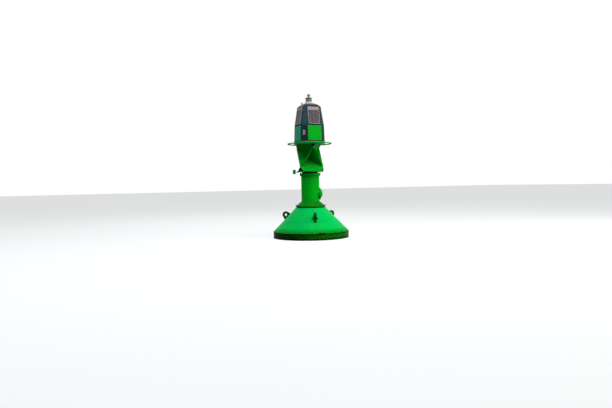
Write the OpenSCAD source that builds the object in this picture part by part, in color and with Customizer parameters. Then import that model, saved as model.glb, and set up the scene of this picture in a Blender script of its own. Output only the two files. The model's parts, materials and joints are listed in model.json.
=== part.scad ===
// Lateral light buoy with a conical float, a mast, a radar reflector and a solar powered lantern.
// The origin is on the waterline, on the buoy's axis, and +Z is up.
// Turns are measured about +Z from the -Y side, where number plate 1 is, towards +X.

/* [Float] */
// Radius of the float at the water
hull_r = 1250; // [1000:10:1500]
// Height of the belt's upper edge over the water
belt_top = 210; // [120:10:300]
// Depth of the belt's lower edge under the water
belt_depth = 450; // [300:10:600]
// How far the lip at the belt's upper edge stands out
lip_out = 10; // [4:1:25]
// Height of the lip
lip_h = 24; // [10:1:50]
// Height of the upper cone's top
cone_top = 985; // [850:5:1100]
// Radius of the upper cone's top
cone_top_r = 500; // [450:5:600]
// Depth of the lower cone's end
cone_depth = 860; // [750:10:1000]
// Radius of the lower cone's end
cone_end_r = 430; // [380:5:600]

/* [Tail] */
// Radius of the tail tube
tail_r = 305; // [250:5:350]
// Depth of the tail tube's end
tail_depth = 3400; // [2800:10:3800]
// Radius of the cast iron discs
weight_r = 470; // [400:5:560]
// Number of cast iron discs
weight_discs = 4; // [2:1:5]
// Height of one disc
weight_disc_h = 110; // [80:5:140]
// Height of the hub that keeps two discs apart
weight_hub_h = 14; // [8:1:30]
// Bevel on the edges of a disc
weight_bevel = 16; // [6:1:30]
// Thickness of the tail's end plate
tail_plate_t = 30; // [15:1:50]

/* [Lifting eyes] */
// Distance of an eye's hole in from the float's side
lift_inset = 345; // [290:5:390]
// Distance of the hole from the cone's surface
lift_stand_off = 122; // [110:1:150]
// Radius of the hole
lift_hole_r = 50; // [30:1:60]
// Width of metal around the hole
lift_ring_w = 64; // [45:1:75]
// Thickness of an eye's plate
lift_t = 60; // [40:1:80]
// Length of an eye's foot along the cone
lift_foot = 300; // [270:5:340]
// Turn of the first eye
lift_turn = -16; // [-40:1:40]
// Width of one side gusset at the cone
lift_gusset_w = 72; // [40:1:90]
// Height of a side gusset over the cone, short of the hole
lift_gusset_h = 64; // [40:1:68]
// Thickness of a side gusset
lift_gusset_t = 22; // [10:1:30]

/* [Mooring eyes] */
// Distance of a mooring eye's hole in from the float's side
moor_inset = 350; // [290:5:430]
// Distance of the hole from the lower cone's surface
moor_stand_off = 130; // [120:1:150]
// Radius of the hole
moor_hole_r = 38; // [25:1:50]
// Width of metal around the hole
moor_ring_w = 72; // [50:1:80]
// Thickness of a mooring eye
moor_t = 70; // [50:1:90]
// Length of a mooring eye's foot along the cone
moor_foot = 420; // [360:5:460]

/* [Mast] */
// Thickness of the float's top flange
hull_flange_t = 25; // [12:1:32]
// Radius of the float's top flange
hull_flange_r = 470; // [440:1:495]
// Thickness of the mast's foot flange
foot_flange_t = 45; // [15:1:60]
// Radius of the mast's foot flange
foot_flange_r = 500; // [480:1:520]
// Radius of the skirt where it meets the foot flange
skirt_r = 475; // [430:1:490]
// Height of the skirt over the foot flange
skirt_h = 140; // [100:5:240]
// Radius of the mast tube
mast_r = 300; // [260:5:320]
// Height of the mast tube's top
mast_top = 2050; // [1900:10:2150]
// Radius of the mast's top flange
top_flange_r = 345; // [330:1:380]
// Thickness of the mast's top flange
top_flange_t = 70; // [30:1:80]

/* [Hatch] */
// Height of the hatch's centre
hatch_z = 1445; // [1400:1:1700]
// Turn of the hatch
hatch_turn = 65; // [40:1:90]
// Radius of the hatch's neck
hatch_neck_r = 190; // [150:1:210]
// How far the neck stands out of the tube
hatch_neck_out = 12; // [8:1:30]
// Radius of the cover
hatch_cover_r = 206; // [190:1:225]
// Thickness of the cover's rim
hatch_rim_t = 12; // [8:1:20]
// Width of the cover's flat rim outside the dome
hatch_rim_w = 30; // [24:1:40]
// Height of the cover's dome
hatch_dome_h = 82; // [50:1:100]

/* [Radar reflector] */
// Radius of the spigot under the reflector
spigot_r = 262; // [200:1:300]
// Height of the spigot
spigot_h = 45; // [30:1:60]
// Radius of the reflector's lower flange
reflector_flange_r = 440; // [400:1:470]
// Thickness of the reflector's lower flange
reflector_flange_t = 30; // [20:1:40]
// Height of the point where the three plates cross
reflector_z = 2650; // [2630:1:2680]
// Turn of the reflector's plate A
reflector_turn = -10; // [-60:1:60]
// Distance of a plate's edges from its middle
plate_reach = 396; // [385:1:440]
// Thickness of a plate
plate_t = 10; // [6:1:14]
// Radius to which the plates are trimmed
plates_trim_r = 450; // [444:1:484]

/* [Side post] */
// Turn of the side post
post_turn = -122; // [-125:1:-110]
// Distance of the side post from the axis
post_from_axis = 530; // [505:1:560]
// Radius of the side post
post_r = 48; // [35:1:52]
// Height of the side post
post_h = 142; // [110:1:160]
// How much of the side post is under its bracket
post_below = 48; // [30:1:60]
// Width of the bracket
bracket_w = 90; // [60:1:110]
// Thickness of the bracket
bracket_t = 9; // [6:1:12]
// Length of the bracket under the flange
bracket_hold = 70; // [50:1:90]

/* [Platform] */
// Radius of the platform
platform_r = 516; // [512:1:540]
// Height of the platform's underside
platform_z = 3082; // [3070:1:3095]
// Thickness of the platform
platform_t = 40; // [36:1:60]
// Radius of the guard ring at the middle of its bar
ring_r = 717; // [680:1:740]
// Radius of the guard ring's bar
ring_bar_r = 19; // [14:1:24]
// Height of the guard ring over the platform's underside
ring_rise = 16; // [16:1:24]
// Number of arms that carry the ring
ring_arms = 4; // [4:1:6]
// Turn of the first arm
arm_turn = 20; // [0:1:45]
// Radius of an arm's bar
arm_bar_r = 15; // [10:1:18]

/* [Housing] */
// Thickness of the plate under the housing
base_t = 50; // [30:1:60]
// Distance across the flats of that plate
base_flats = 862; // [850:2:868]
// Distance across the housing's flats at its bottom
flats_bottom = 850; // [820:5:870]
// Distance across the flats at the knee
flats_knee = 806; // [780:2:820]
// Distance across the flats at the top
flats_top = 620; // [590:5:660]
// Height of the knee
knee_z = 3695; // [3690:1:3705]
// Height of the housing's top
housing_top = 4295; // [4285:5:4320]
// Length cut off each corner at the bottom
cut_bottom = 154; // [140:1:160]
// Length cut off each corner at the knee
cut_knee = 130; // [110:1:140]
// Length cut off each corner at the top
cut_top = 66; // [55:1:85]
// Thickness of a corner plate
corner_t = 10; // [5:1:15]
// Thickness of the panels on the wide faces
panel_t = 20; // [14:1:28]
// Width of a number plate
number_w = 478; // [440:1:520]
// Height of a number plate
number_h = 480; // [440:1:490]
// Distance of a number plate from the housing's lower edge
number_from_edge = 18; // [10:1:30]
// Corner radius of a number plate
number_corner_r = 14; // [4:1:25]
// Width of a solar panel
solar_w = 415; // [380:5:460]
// Height of a solar panel
solar_h = 566; // [540:1:572]
// Distance of a solar panel from the knee
solar_from_knee = 26; // [10:1:32]
// Width of the solar panel's frame
solar_border = 21; // [15:1:35]
// Height of the blank band at the solar panel's top
solar_band = 112; // [60:1:140]
// Thickness of the solar module inside its frame
module_t = 14; // [8:1:18]

/* [Roof and lantern] */
// Distance across the roof's flats
roof_flats = 632; // [628:1:660]
// Length cut off each corner of the roof's rim
roof_cut = 58; // [45:1:62]
// Height of the roof's rim
roof_rim = 6; // [2:1:12]
// Height of the roof's steep edge
roof_edge_h = 75; // [60:1:90]
// Distance across the flats at the top of the steep edge
roof_edge_flats = 480; // [440:1:520]
// Height of the roof
roof_h = 129; // [110:1:140]
// Distance across the flats of the roof's top
roof_top_flats = 290; // [270:1:320]
// Distance of the roof's eye from the axis
roof_eye_from_axis = 240; // [210:1:260]
// Turn of the roof's eye
roof_eye_turn = -135; // [-140:1:-130]
// Radius of the roof eye's ring at the middle of its bar
roof_eye_r = 27; // [20:1:32]
// Radius of the roof eye's bar
roof_eye_bar_r = 9; // [6:1:10]
// Radius of the lantern's base
lamp_base_r = 125; // [118:1:135]
// Height of the lantern's base
lamp_base_h = 48; // [40:1:70]
// Radius of the lens
lens_r = 104; // [95:1:112]
// Height of the lens
lens_h = 120; // [80:1:130]
// Radius of the lantern's cap
lamp_cap_r = 114; // [113:1:125]
// Height of the lantern's cap
lamp_cap_h = 20; // [16:1:45]
// Radius of the finial's stem
finial_stem_r = 30; // [18:1:35]
// Widest radius of the finial
finial_r = 52; // [42:1:70]
// Height of the finial
finial_h = 138; // [110:1:170]

/* [Hidden] */
$fn = 96;

// Paint and materials
float_green = [0.0, 0.75, 0.30];
wet_green = [0.05, 0.22, 0.05];
mast_green = [0.0, 0.58, 0.12];
reflector_green = [0.02, 0.48, 0.06];
plate_green = [0.0, 0.72, 0.05];
corner_teal = [0.06, 0.22, 0.25];
core_dark = [0.12, 0.14, 0.18];
iron = [0.24, 0.22, 0.21];
cell_grey = [0.26, 0.25, 0.30];
frame_light = [0.78, 0.74, 0.72];
base_grey = [0.45, 0.42, 0.36];
lamp_cream = [0.86, 0.83, 0.76];
lens_olive = [0.46, 0.48, 0.34];
cap_dark = [0.18, 0.22, 0.24];

// Heights that follow from the sizes above
foot_z = cone_top + hull_flange_t;
foot_top = foot_z + foot_flange_t;
mast_flange_top = mast_top + top_flange_t;
spigot_top = mast_flange_top + spigot_h;
plates_low = spigot_top + reflector_flange_t;
platform_top = platform_z + platform_t;
housing_low = platform_top + base_t;
roof_top = housing_top + roof_h;
lamp_low = roof_top;
lens_low = lamp_low + lamp_base_h;
cap_low = lens_low + lens_h;
finial_low = cap_low + lamp_cap_h;
ring_z = platform_z + ring_rise;
weight_stack = weight_discs * weight_disc_h + (weight_discs - 1) * weight_hub_h;

// Slopes of the float's cones over the horizontal
cone_slope = atan2(cone_top - belt_top, hull_r - cone_top_r);
bottom_slope = atan2(cone_depth - belt_depth, hull_r - cone_end_r);

// Slopes of the housing's faces from the vertical, on the wide faces
lean_lower = atan2((flats_bottom - flats_knee) / 2, knee_z - housing_low);
lean_upper = atan2((flats_knee - flats_top) / 2, housing_top - knee_z);

// The three plates stand square to each other with the corner between them upright
plate_tip = acos(1 / sqrt(3));
plate_w = 2 * plate_reach;
reflector_span = 4 * plates_trim_r;

// Distances of the eyes' holes from the axis
lift_from_axis = hull_r - lift_inset;
moor_from_axis = hull_r - moor_inset;

// How far an eye's plate reaches into the float before the float is taken off it
seat = 12;

// Eight corners of a square whose own corners are cut off
function octagon(flats, cut) =
    let (h = flats / 2, w = flats / 2 - cut)
    [[w, -h], [h, -w], [h, w], [w, h], [-w, h], [-h, w], [-h, -w], [-w, -h]];

// Outline of a plate of thickness t on the cut corner between the -Y and +X faces
function corner_outline(flats, cut, t) =
    let (h = flats / 2, w = flats / 2 - cut, s = t * sqrt(2))
    [[w, -h], [w + s, -h], [h, -w - s], [h, -w]];

// Point where a line from p touches the circle of radius r about c, on the given side
function touch_point(p, c, r, side) =
    let (d = norm(c - p), a = atan2(p.y - c.y, p.x - c.x) + side * acos(r / d))
    c + r * [cos(a), sin(a)];

// Closed body between two outlines with the same number of corners, in the same order
module loft(low, z_low, high, z_high) {
    n = len(low);
    polyhedron(
        points = [for (p = low) [p.x, p.y, z_low], for (p = high) [p.x, p.y, z_high]],
        faces = [
            [for (i = [0 : n - 1]) i],
            [for (i = [n - 1 : -1 : 0]) n + i],
            for (i = [0 : n - 1]) [i, n + i, n + (i + 1) % n, (i + 1) % n]
        ]
    );
}

// Places children that face -Y at a turn about the buoy's axis
module turned(turn) {
    rotate([0, 0, turn]) children();
}

// Places children on a wide face: x runs along the face, y up its slope and z straight out
module on_face(side, flats, z, lean) {
    turned(90 * side) translate([0, -flats / 2, z]) rotate([90 - lean, 0, 0]) children();
}

module hull_belt() {
    color(wet_green) rotate_extrude() polygon([
        [0, -belt_depth], [hull_r, -belt_depth], [hull_r, belt_top - lip_h - lip_out],
        [hull_r + lip_out, belt_top - lip_h], [hull_r + lip_out, belt_top - 3],
        [hull_r + lip_out - 3, belt_top], [0, belt_top]
    ]);
}

module hull_cone() {
    color(float_green) rotate_extrude() polygon([
        [0, belt_top], [hull_r, belt_top], [cone_top_r, cone_top], [0, cone_top]
    ]);
}

module hull_bottom() {
    color(wet_green) rotate_extrude() polygon([
        [0, -belt_depth], [hull_r, -belt_depth], [cone_end_r, -cone_depth], [0, -cone_depth]
    ]);
}

module hull_flange() {
    color(mast_green) translate([0, 0, cone_top]) cylinder(h = hull_flange_t, r = hull_flange_r);
}

module tail_tube() {
    color(wet_green) translate([0, 0, -tail_depth]) cylinder(h = tail_depth - cone_depth, r = tail_r);
}

module tail_plate() {
    color(wet_green) translate([0, 0, -tail_depth - tail_plate_t])
        cylinder(h = tail_plate_t, r = weight_r - weight_bevel);
}

// One cast disc with bevelled edges, as half of its section
module weight_disc_section() {
    polygon([
        [tail_r, 0], [weight_r - weight_bevel, 0], [weight_r, weight_bevel],
        [weight_r, weight_disc_h - weight_bevel], [weight_r - weight_bevel, weight_disc_h],
        [tail_r, weight_disc_h]
    ]);
}

module counterweight() {
    hub_w = (weight_r - tail_r) * 0.7;
    color(iron) translate([0, 0, -tail_depth]) rotate_extrude() {
        for (i = [0 : weight_discs - 1])
            translate([0, i * (weight_disc_h + weight_hub_h)]) weight_disc_section();
        translate([tail_r, weight_disc_h / 2]) square([hub_w, weight_stack - weight_disc_h]);
    }
}

// Eye with its foot on the x axis and its hole above, as a flat outline
module eye_outline(foot, stand_off, r) {
    low = [-foot / 2, 0];
    high = [foot / 2, 0];
    centre = [0, stand_off];
    translate(centre) circle(r = r);
    polygon([
        [-foot / 2, -seat], [foot / 2, -seat], high,
        touch_point(high, centre, r, 1), centre, touch_point(low, centre, r, -1), low
    ]);
}

// Eye plate in the plane of the buoy's axis: x runs up the cone and y straight out of it
module eye_plate(foot, stand_off, hole_r, ring_w, t) {
    difference() {
        translate([0, 0, -t / 2]) linear_extrude(t) eye_outline(foot, stand_off, hole_r + ring_w);
        translate([0, stand_off, -t]) cylinder(h = 2 * t, r = hole_r);
    }
}

// Pair of triangular gussets that brace the plate sideways at its foot
module eye_gussets() {
    out = lift_t / 2 + lift_gusset_w;
    translate([lift_gusset_t / 2, 0, 0]) rotate([0, -90, 0]) linear_extrude(lift_gusset_t)
        polygon([
            [-out, -seat], [out, -seat], [out, 8],
            [lift_t / 2, lift_gusset_h], [-lift_t / 2, lift_gusset_h], [-out, 8]
        ]);
}

// Frame on the upper cone's surface under a hole at the given distance from the axis
module on_upper_cone(turn, from_axis, stand_off) {
    near_r = from_axis - stand_off * sin(cone_slope);
    near_z = belt_top + (hull_r - near_r) * tan(cone_slope);
    turned(turn) translate([0, -near_r, near_z]) rotate([90, 0, 90]) rotate([0, 0, cone_slope])
        children();
}

// Frame on the lower cone's surface, with y pointing down and out
module on_lower_cone(turn, from_axis, stand_off) {
    near_r = from_axis - stand_off * sin(bottom_slope);
    near_z = -belt_depth - (hull_r - near_r) * tan(bottom_slope);
    turned(turn) translate([0, -near_r, near_z]) rotate([90, 0, 90]) rotate([0, 0, 180 - bottom_slope])
        children();
}

module lifting_eye(k) {
    color(mast_green) difference() {
        on_upper_cone(lift_turn + 120 * k, lift_from_axis, lift_stand_off) {
            eye_plate(lift_foot, lift_stand_off, lift_hole_r, lift_ring_w, lift_t);
            eye_gussets();
        }
        hull_cone();
    }
}

module mooring_eye(k) {
    color(wet_green) difference() {
        on_lower_cone(90 + 180 * k, moor_from_axis, moor_stand_off)
            eye_plate(moor_foot, moor_stand_off, moor_hole_r, moor_ring_w, moor_t);
        hull_bottom();
    }
}

module mast_foot() {
    color(mast_green) rotate_extrude() polygon([
        [0, foot_z], [foot_flange_r, foot_z], [foot_flange_r, foot_top], [skirt_r, foot_top],
        [mast_r, foot_top + skirt_h], [mast_r, foot_top], [0, foot_top]
    ]);
}

module mast_tube() {
    color(mast_green) translate([0, 0, foot_top]) cylinder(h = mast_top - foot_top, r = mast_r);
}

module mast_flange() {
    color(mast_green) translate([0, 0, mast_top]) cylinder(h = top_flange_t, r = top_flange_r);
}

module hatch_neck() {
    color(mast_green) difference() {
        turned(hatch_turn) translate([0, 0, hatch_z]) rotate([90, 0, 0])
            cylinder(h = mast_r + hatch_neck_out, r = hatch_neck_r);
        mast_tube();
    }
}

module hatch_cover() {
    dome_edge_r = hatch_cover_r - hatch_rim_w;
    dome_r = (pow(dome_edge_r, 2) + pow(hatch_dome_h, 2)) / (2 * hatch_dome_h);
    color(mast_green) turned(hatch_turn) translate([0, -mast_r - hatch_neck_out, hatch_z]) rotate([90, 0, 0]) {
        cylinder(h = hatch_rim_t, r = hatch_cover_r);
        intersection() {
            translate([0, 0, hatch_rim_t + hatch_dome_h - dome_r]) sphere(r = dome_r);
            cylinder(h = hatch_rim_t + hatch_dome_h, r = dome_edge_r);
        }
    }
}

module mast_spigot() {
    color(core_dark) translate([0, 0, mast_flange_top]) cylinder(h = spigot_h, r = spigot_r);
}

module reflector_base() {
    color(reflector_green) translate([0, 0, spigot_top])
        cylinder(h = reflector_flange_t, r = reflector_flange_r);
}

// Endless slab in the plane of plate k, as wide as w
module reflector_slab(k, w) {
    translate([0, 0, reflector_z]) turned(reflector_turn + 120 * k) rotate([plate_tip, 0, 0])
        cube([w, reflector_span, plate_t], center = true);
}

// Plate k as far as the flange, the platform and the trimmed edge let it reach
module reflector_plate(k) {
    intersection() {
        reflector_slab(k, plate_w);
        translate([0, 0, plates_low]) cylinder(h = platform_z - plates_low, r = plates_trim_r);
    }
}

module reflector_plate_a() {
    color(reflector_green) reflector_plate(0);
}

module reflector_plate_b() {
    color(reflector_green) difference() {
        reflector_plate(1);
        reflector_slab(0, reflector_span);
    }
}

module reflector_plate_c() {
    color(reflector_green) difference() {
        reflector_plate(2);
        reflector_slab(0, reflector_span);
        reflector_slab(1, reflector_span);
    }
}

module side_bracket() {
    color(mast_green) turned(post_turn) difference() {
        translate([-bracket_w / 2, -post_from_axis, spigot_top - bracket_t])
            cube([bracket_w, post_from_axis - reflector_flange_r + bracket_hold, bracket_t]);
        translate([0, -post_from_axis, spigot_top - 2 * bracket_t]) cylinder(h = 3 * bracket_t, r = post_r);
    }
}

module side_post() {
    bevel = 6;
    color(mast_green) turned(post_turn)
        translate([0, -post_from_axis, spigot_top - bracket_t - post_below]) rotate_extrude() polygon([
            [0, 0], [post_r - bevel, 0], [post_r, bevel], [post_r, post_h - bevel],
            [post_r - bevel, post_h], [0, post_h]
        ]);
}

module platform() {
    bevel = 6;
    color(mast_green) translate([0, 0, platform_z]) rotate_extrude() polygon([
        [0, 0], [platform_r, 0], [platform_r, platform_t - bevel], [platform_r - bevel, platform_t],
        [0, platform_t]
    ]);
}

module guard_ring() {
    color(mast_green) {
        translate([0, 0, ring_z]) rotate_extrude() translate([ring_r, 0]) circle(r = ring_bar_r);
        difference() {
            for (k = [0 : ring_arms - 1])
                turned(arm_turn + 360 / ring_arms * k) translate([0, 0, ring_z]) rotate([90, 0, 0])
                    cylinder(h = ring_r, r = arm_bar_r);
            translate([0, 0, platform_z - platform_t]) cylinder(h = 3 * platform_t, r = platform_r);
        }
    }
}

module housing_base() {
    color(base_grey) translate([0, 0, platform_top]) linear_extrude(base_t)
        polygon(octagon(base_flats, cut_bottom));
}

module housing_core() {
    color(core_dark) {
        loft(octagon(flats_bottom, cut_bottom), housing_low, octagon(flats_knee, cut_knee), knee_z);
        loft(octagon(flats_knee, cut_knee), knee_z, octagon(flats_top, cut_top), housing_top);
    }
}

module housing_corner(k) {
    low = corner_outline(flats_bottom, cut_bottom, corner_t);
    knee = corner_outline(flats_knee, cut_knee, corner_t);
    high = corner_outline(flats_top, cut_top, corner_t);
    color(corner_teal) turned(90 * k) {
        loft(low, housing_low, knee, knee_z);
        loft(knee, knee_z, high, housing_top);
    }
}

module number_plate(k) {
    x = number_w / 2 - number_corner_r;
    color(plate_green) on_face(k, flats_bottom, housing_low, lean_lower)
        translate([0, number_from_edge, 0]) linear_extrude(panel_t) {
            translate([-number_w / 2, number_corner_r]) square([number_w, number_h - 2 * number_corner_r]);
            translate([-x, 0]) square([2 * x, number_h]);
            for (sx = [-x, x], sy = [number_corner_r, number_h - number_corner_r])
                translate([sx, sy]) circle(r = number_corner_r);
        }
}

// Clear opening of the solar panel's frame
module solar_window(depth) {
    translate([-solar_w / 2 + solar_border, solar_border, 0])
        cube([solar_w - 2 * solar_border, solar_h - solar_border - solar_band, depth]);
}

module on_solar_face(k) {
    on_face(k, flats_knee, knee_z, lean_upper) translate([0, solar_from_knee, 0]) children();
}

module solar_frame(k) {
    color(frame_light) on_solar_face(k) difference() {
        translate([-solar_w / 2, 0, 0]) cube([solar_w, solar_h, panel_t]);
        translate([0, 0, -panel_t]) solar_window(3 * panel_t);
    }
}

module solar_module(k) {
    color(cell_grey) on_solar_face(k) solar_window(module_t);
}

// Length cut off the roof's corners where it is as wide as flats
function roof_cut_at(flats) = roof_cut * flats / roof_flats;

module roof() {
    rim = octagon(roof_flats, roof_cut);
    edge = octagon(roof_edge_flats, roof_cut_at(roof_edge_flats));
    top = octagon(roof_top_flats, roof_cut_at(roof_top_flats));
    color(core_dark) {
        translate([0, 0, housing_top]) linear_extrude(roof_rim) polygon(rim);
        loft(rim, housing_top + roof_rim, edge, housing_top + roof_edge_h);
        loft(edge, housing_top + roof_edge_h, top, roof_top);
    }
}

// Height of the roof's upper slope over a point at the given distance on a cut corner
function roof_slope_z(d) =
    let (edge = (roof_edge_flats - roof_cut_at(roof_edge_flats)) / sqrt(2))
    let (top = (roof_top_flats - roof_cut_at(roof_top_flats)) / sqrt(2))
    housing_top + roof_edge_h + (roof_h - roof_edge_h) * (edge - d) / (edge - top);

module roof_eye() {
    stem = 16;
    ring_out = roof_eye_r + roof_eye_bar_r;
    z = roof_slope_z(roof_eye_from_axis);
    color(core_dark) turned(roof_eye_turn) difference() {
        translate([0, -roof_eye_from_axis, z]) {
            translate([0, 0, -stem]) cylinder(h = 2 * stem, r = roof_eye_bar_r + 5);
            translate([0, 0, stem + ring_out - roof_eye_bar_r]) turned(-roof_eye_turn) rotate([90, 0, 0])
                rotate_extrude() translate([roof_eye_r, 0]) circle(r = roof_eye_bar_r);
        }
        turned(-roof_eye_turn) roof();
    }
}

module lantern_base() {
    bevel = 8;
    color(lamp_cream) translate([0, 0, lamp_low]) rotate_extrude() polygon([
        [0, 0], [lamp_base_r, 0], [lamp_base_r, lamp_base_h - bevel],
        [lamp_base_r - bevel, lamp_base_h], [0, lamp_base_h]
    ]);
}

module lantern_lens() {
    color(lens_olive) translate([0, 0, lens_low]) cylinder(h = lens_h, r = lens_r);
}

module lantern_cap() {
    bevel = 6;
    color(cap_dark) translate([0, 0, cap_low]) rotate_extrude() polygon([
        [0, 0], [lamp_cap_r, 0], [lamp_cap_r, lamp_cap_h - bevel], [lamp_cap_r - bevel, lamp_cap_h],
        [0, lamp_cap_h]
    ]);
}

module lantern_finial() {
    neck = finial_h * 0.22;
    knob_h = finial_h - neck;
    steps = 16;
    color(lens_olive) translate([0, 0, finial_low]) rotate_extrude() polygon([
        [0, 0], [finial_stem_r, 0], [finial_stem_r, neck],
        for (i = [1 : steps - 1])
            let (a = 180 * i / steps)
            [max(finial_r * sin(a), a < 90 ? finial_stem_r : 0), neck + knob_h * (1 - cos(a)) / 2],
        [0, finial_h]
    ]);
}

hull_belt();
hull_cone();
hull_bottom();
hull_flange();
tail_tube();
tail_plate();
counterweight();
lifting_eye(0);  // lifting_eye_1
lifting_eye(1);  // lifting_eye_2
lifting_eye(2);  // lifting_eye_3
mooring_eye(0);  // mooring_eye_1
mooring_eye(1);  // mooring_eye_2
mast_foot();
mast_tube();
mast_flange();
hatch_neck();
hatch_cover();
mast_spigot();
reflector_base();
reflector_plate_a();
reflector_plate_b();
reflector_plate_c();
side_bracket();
side_post();
platform();
guard_ring();
housing_base();
housing_core();
housing_corner(0);  // housing_corner_1
housing_corner(1);  // housing_corner_2
housing_corner(2);  // housing_corner_3
housing_corner(3);  // housing_corner_4
number_plate(0);  // number_plate_1
number_plate(1);  // number_plate_2
number_plate(2);  // number_plate_3
number_plate(3);  // number_plate_4
solar_frame(0);  // solar_frame_1
solar_frame(1);  // solar_frame_2
solar_frame(2);  // solar_frame_3
solar_frame(3);  // solar_frame_4
solar_module(0);  // solar_module_1
solar_module(1);  // solar_module_2
solar_module(2);  // solar_module_3
solar_module(3);  // solar_module_4
roof();
roof_eye();
lantern_base();
lantern_lens();
lantern_cap();
lantern_finial();
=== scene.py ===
"""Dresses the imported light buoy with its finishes, welds, bolts, solar cells, lens and growth.

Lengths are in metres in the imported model's frame: the origin is on the waterline, +Z runs up the mast and -Y
points out of number plate 1. Turns are in degrees about +Z, from -Y towards +X.
"""

import functools
import json
import logging
import math
from collections.abc import Callable, Sequence
from dataclasses import asdict, dataclass
from enum import Enum

import bmesh
import bpy
from mathutils import Matrix, Vector, noise


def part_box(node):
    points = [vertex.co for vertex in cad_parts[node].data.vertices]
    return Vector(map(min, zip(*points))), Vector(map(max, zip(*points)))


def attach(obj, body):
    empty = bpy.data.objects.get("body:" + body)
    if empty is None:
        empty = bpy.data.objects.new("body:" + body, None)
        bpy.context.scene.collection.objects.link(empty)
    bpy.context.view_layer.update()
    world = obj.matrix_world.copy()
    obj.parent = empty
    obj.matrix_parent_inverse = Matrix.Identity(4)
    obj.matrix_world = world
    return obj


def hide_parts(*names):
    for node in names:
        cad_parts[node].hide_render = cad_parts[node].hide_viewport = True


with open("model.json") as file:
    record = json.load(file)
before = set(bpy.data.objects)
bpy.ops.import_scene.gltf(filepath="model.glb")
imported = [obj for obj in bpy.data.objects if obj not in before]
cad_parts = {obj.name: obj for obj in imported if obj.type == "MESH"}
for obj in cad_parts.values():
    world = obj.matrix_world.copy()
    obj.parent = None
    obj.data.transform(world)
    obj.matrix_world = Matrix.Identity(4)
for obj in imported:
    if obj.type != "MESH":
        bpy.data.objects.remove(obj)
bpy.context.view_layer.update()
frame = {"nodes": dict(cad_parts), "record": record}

LOG = logging.getLogger("light_buoy")
Rgb = tuple[float, float, float]
Point = tuple[float, float, float]
Mesh = bpy.types.Mesh
Material = bpy.types.Material
NodeTree = bpy.types.NodeTree
Socket = bpy.types.NodeSocket
Inputs = dict[object, object]
Path = list[Vector]
Places = list[tuple[Vector, Vector]]
UP = Vector((0.0, 0.0, 1.0))


def srgb(red: int, green: int, blue: int) -> Rgb:
    """Turns a colour as a screen shows it, 0 to 255, into the linear values that a shader takes."""
    parts = [value / 255 for value in (red, green, blue)]
    return tuple(p / 12.92 if p <= 0.04045 else ((p + 0.055) / 1.055) ** 2.4 for p in parts)


def shade(colour: Rgb, share: float) -> Rgb:
    """Returns a colour at a share of its brightness."""
    return tuple(value * share for value in colour)


def outward(turn: float) -> Vector:
    """Returns the level direction that points out of the buoy's axis at a turn."""
    return Vector((math.sin(math.radians(turn)), -math.cos(math.radians(turn)), 0.0))


def sideways(turn: float) -> Vector:
    """Returns the level direction along which the turn grows."""
    return Vector((math.cos(math.radians(turn)), math.sin(math.radians(turn)), 0.0))


def at_turn(turn: float, radius: float, height: float) -> Vector:
    """Returns the place at a turn, a distance from the axis and a height."""
    return outward(turn) * radius + UP * height


def turn_of(place: Sequence[float]) -> float:
    """Returns the turn at which a place lies."""
    return math.degrees(math.atan2(place[0], -place[1]))


def ring_path(radius: float, height: float, steps: int = 160) -> Path:
    """Returns the places of a level circle about the axis, closed."""
    return [at_turn(360 * k / steps, radius, height) for k in range(steps + 1)]


def bolt_circle(count: int, radius: float, height: float, way: Vector = UP) -> Places:
    """Returns the places of bolts on a level circle, each with the way that it points."""
    return [(at_turn(360 * (k + 0.5) / count, radius, height), way) for k in range(count)]


@functools.cache
def box_of(node: str) -> tuple[Vector, Vector]:
    """Returns the lowest and the highest corner of a CAD node."""
    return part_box(node)


@dataclass(frozen=True)
class Solid:
    """Reads the outer sizes of a CAD node that is round about the buoy's axis.

    Attributes:
        node: Name of the node.
    """

    node: str

    @property
    def low(self) -> float:
        """Height of the node's lowest point."""
        return box_of(self.node)[0].z

    @property
    def high(self) -> float:
        """Height of the node's highest point."""
        return box_of(self.node)[1].z

    @property
    def radius(self) -> float:
        """Radius of the node about the axis."""
        return box_of(self.node)[1].x


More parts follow.
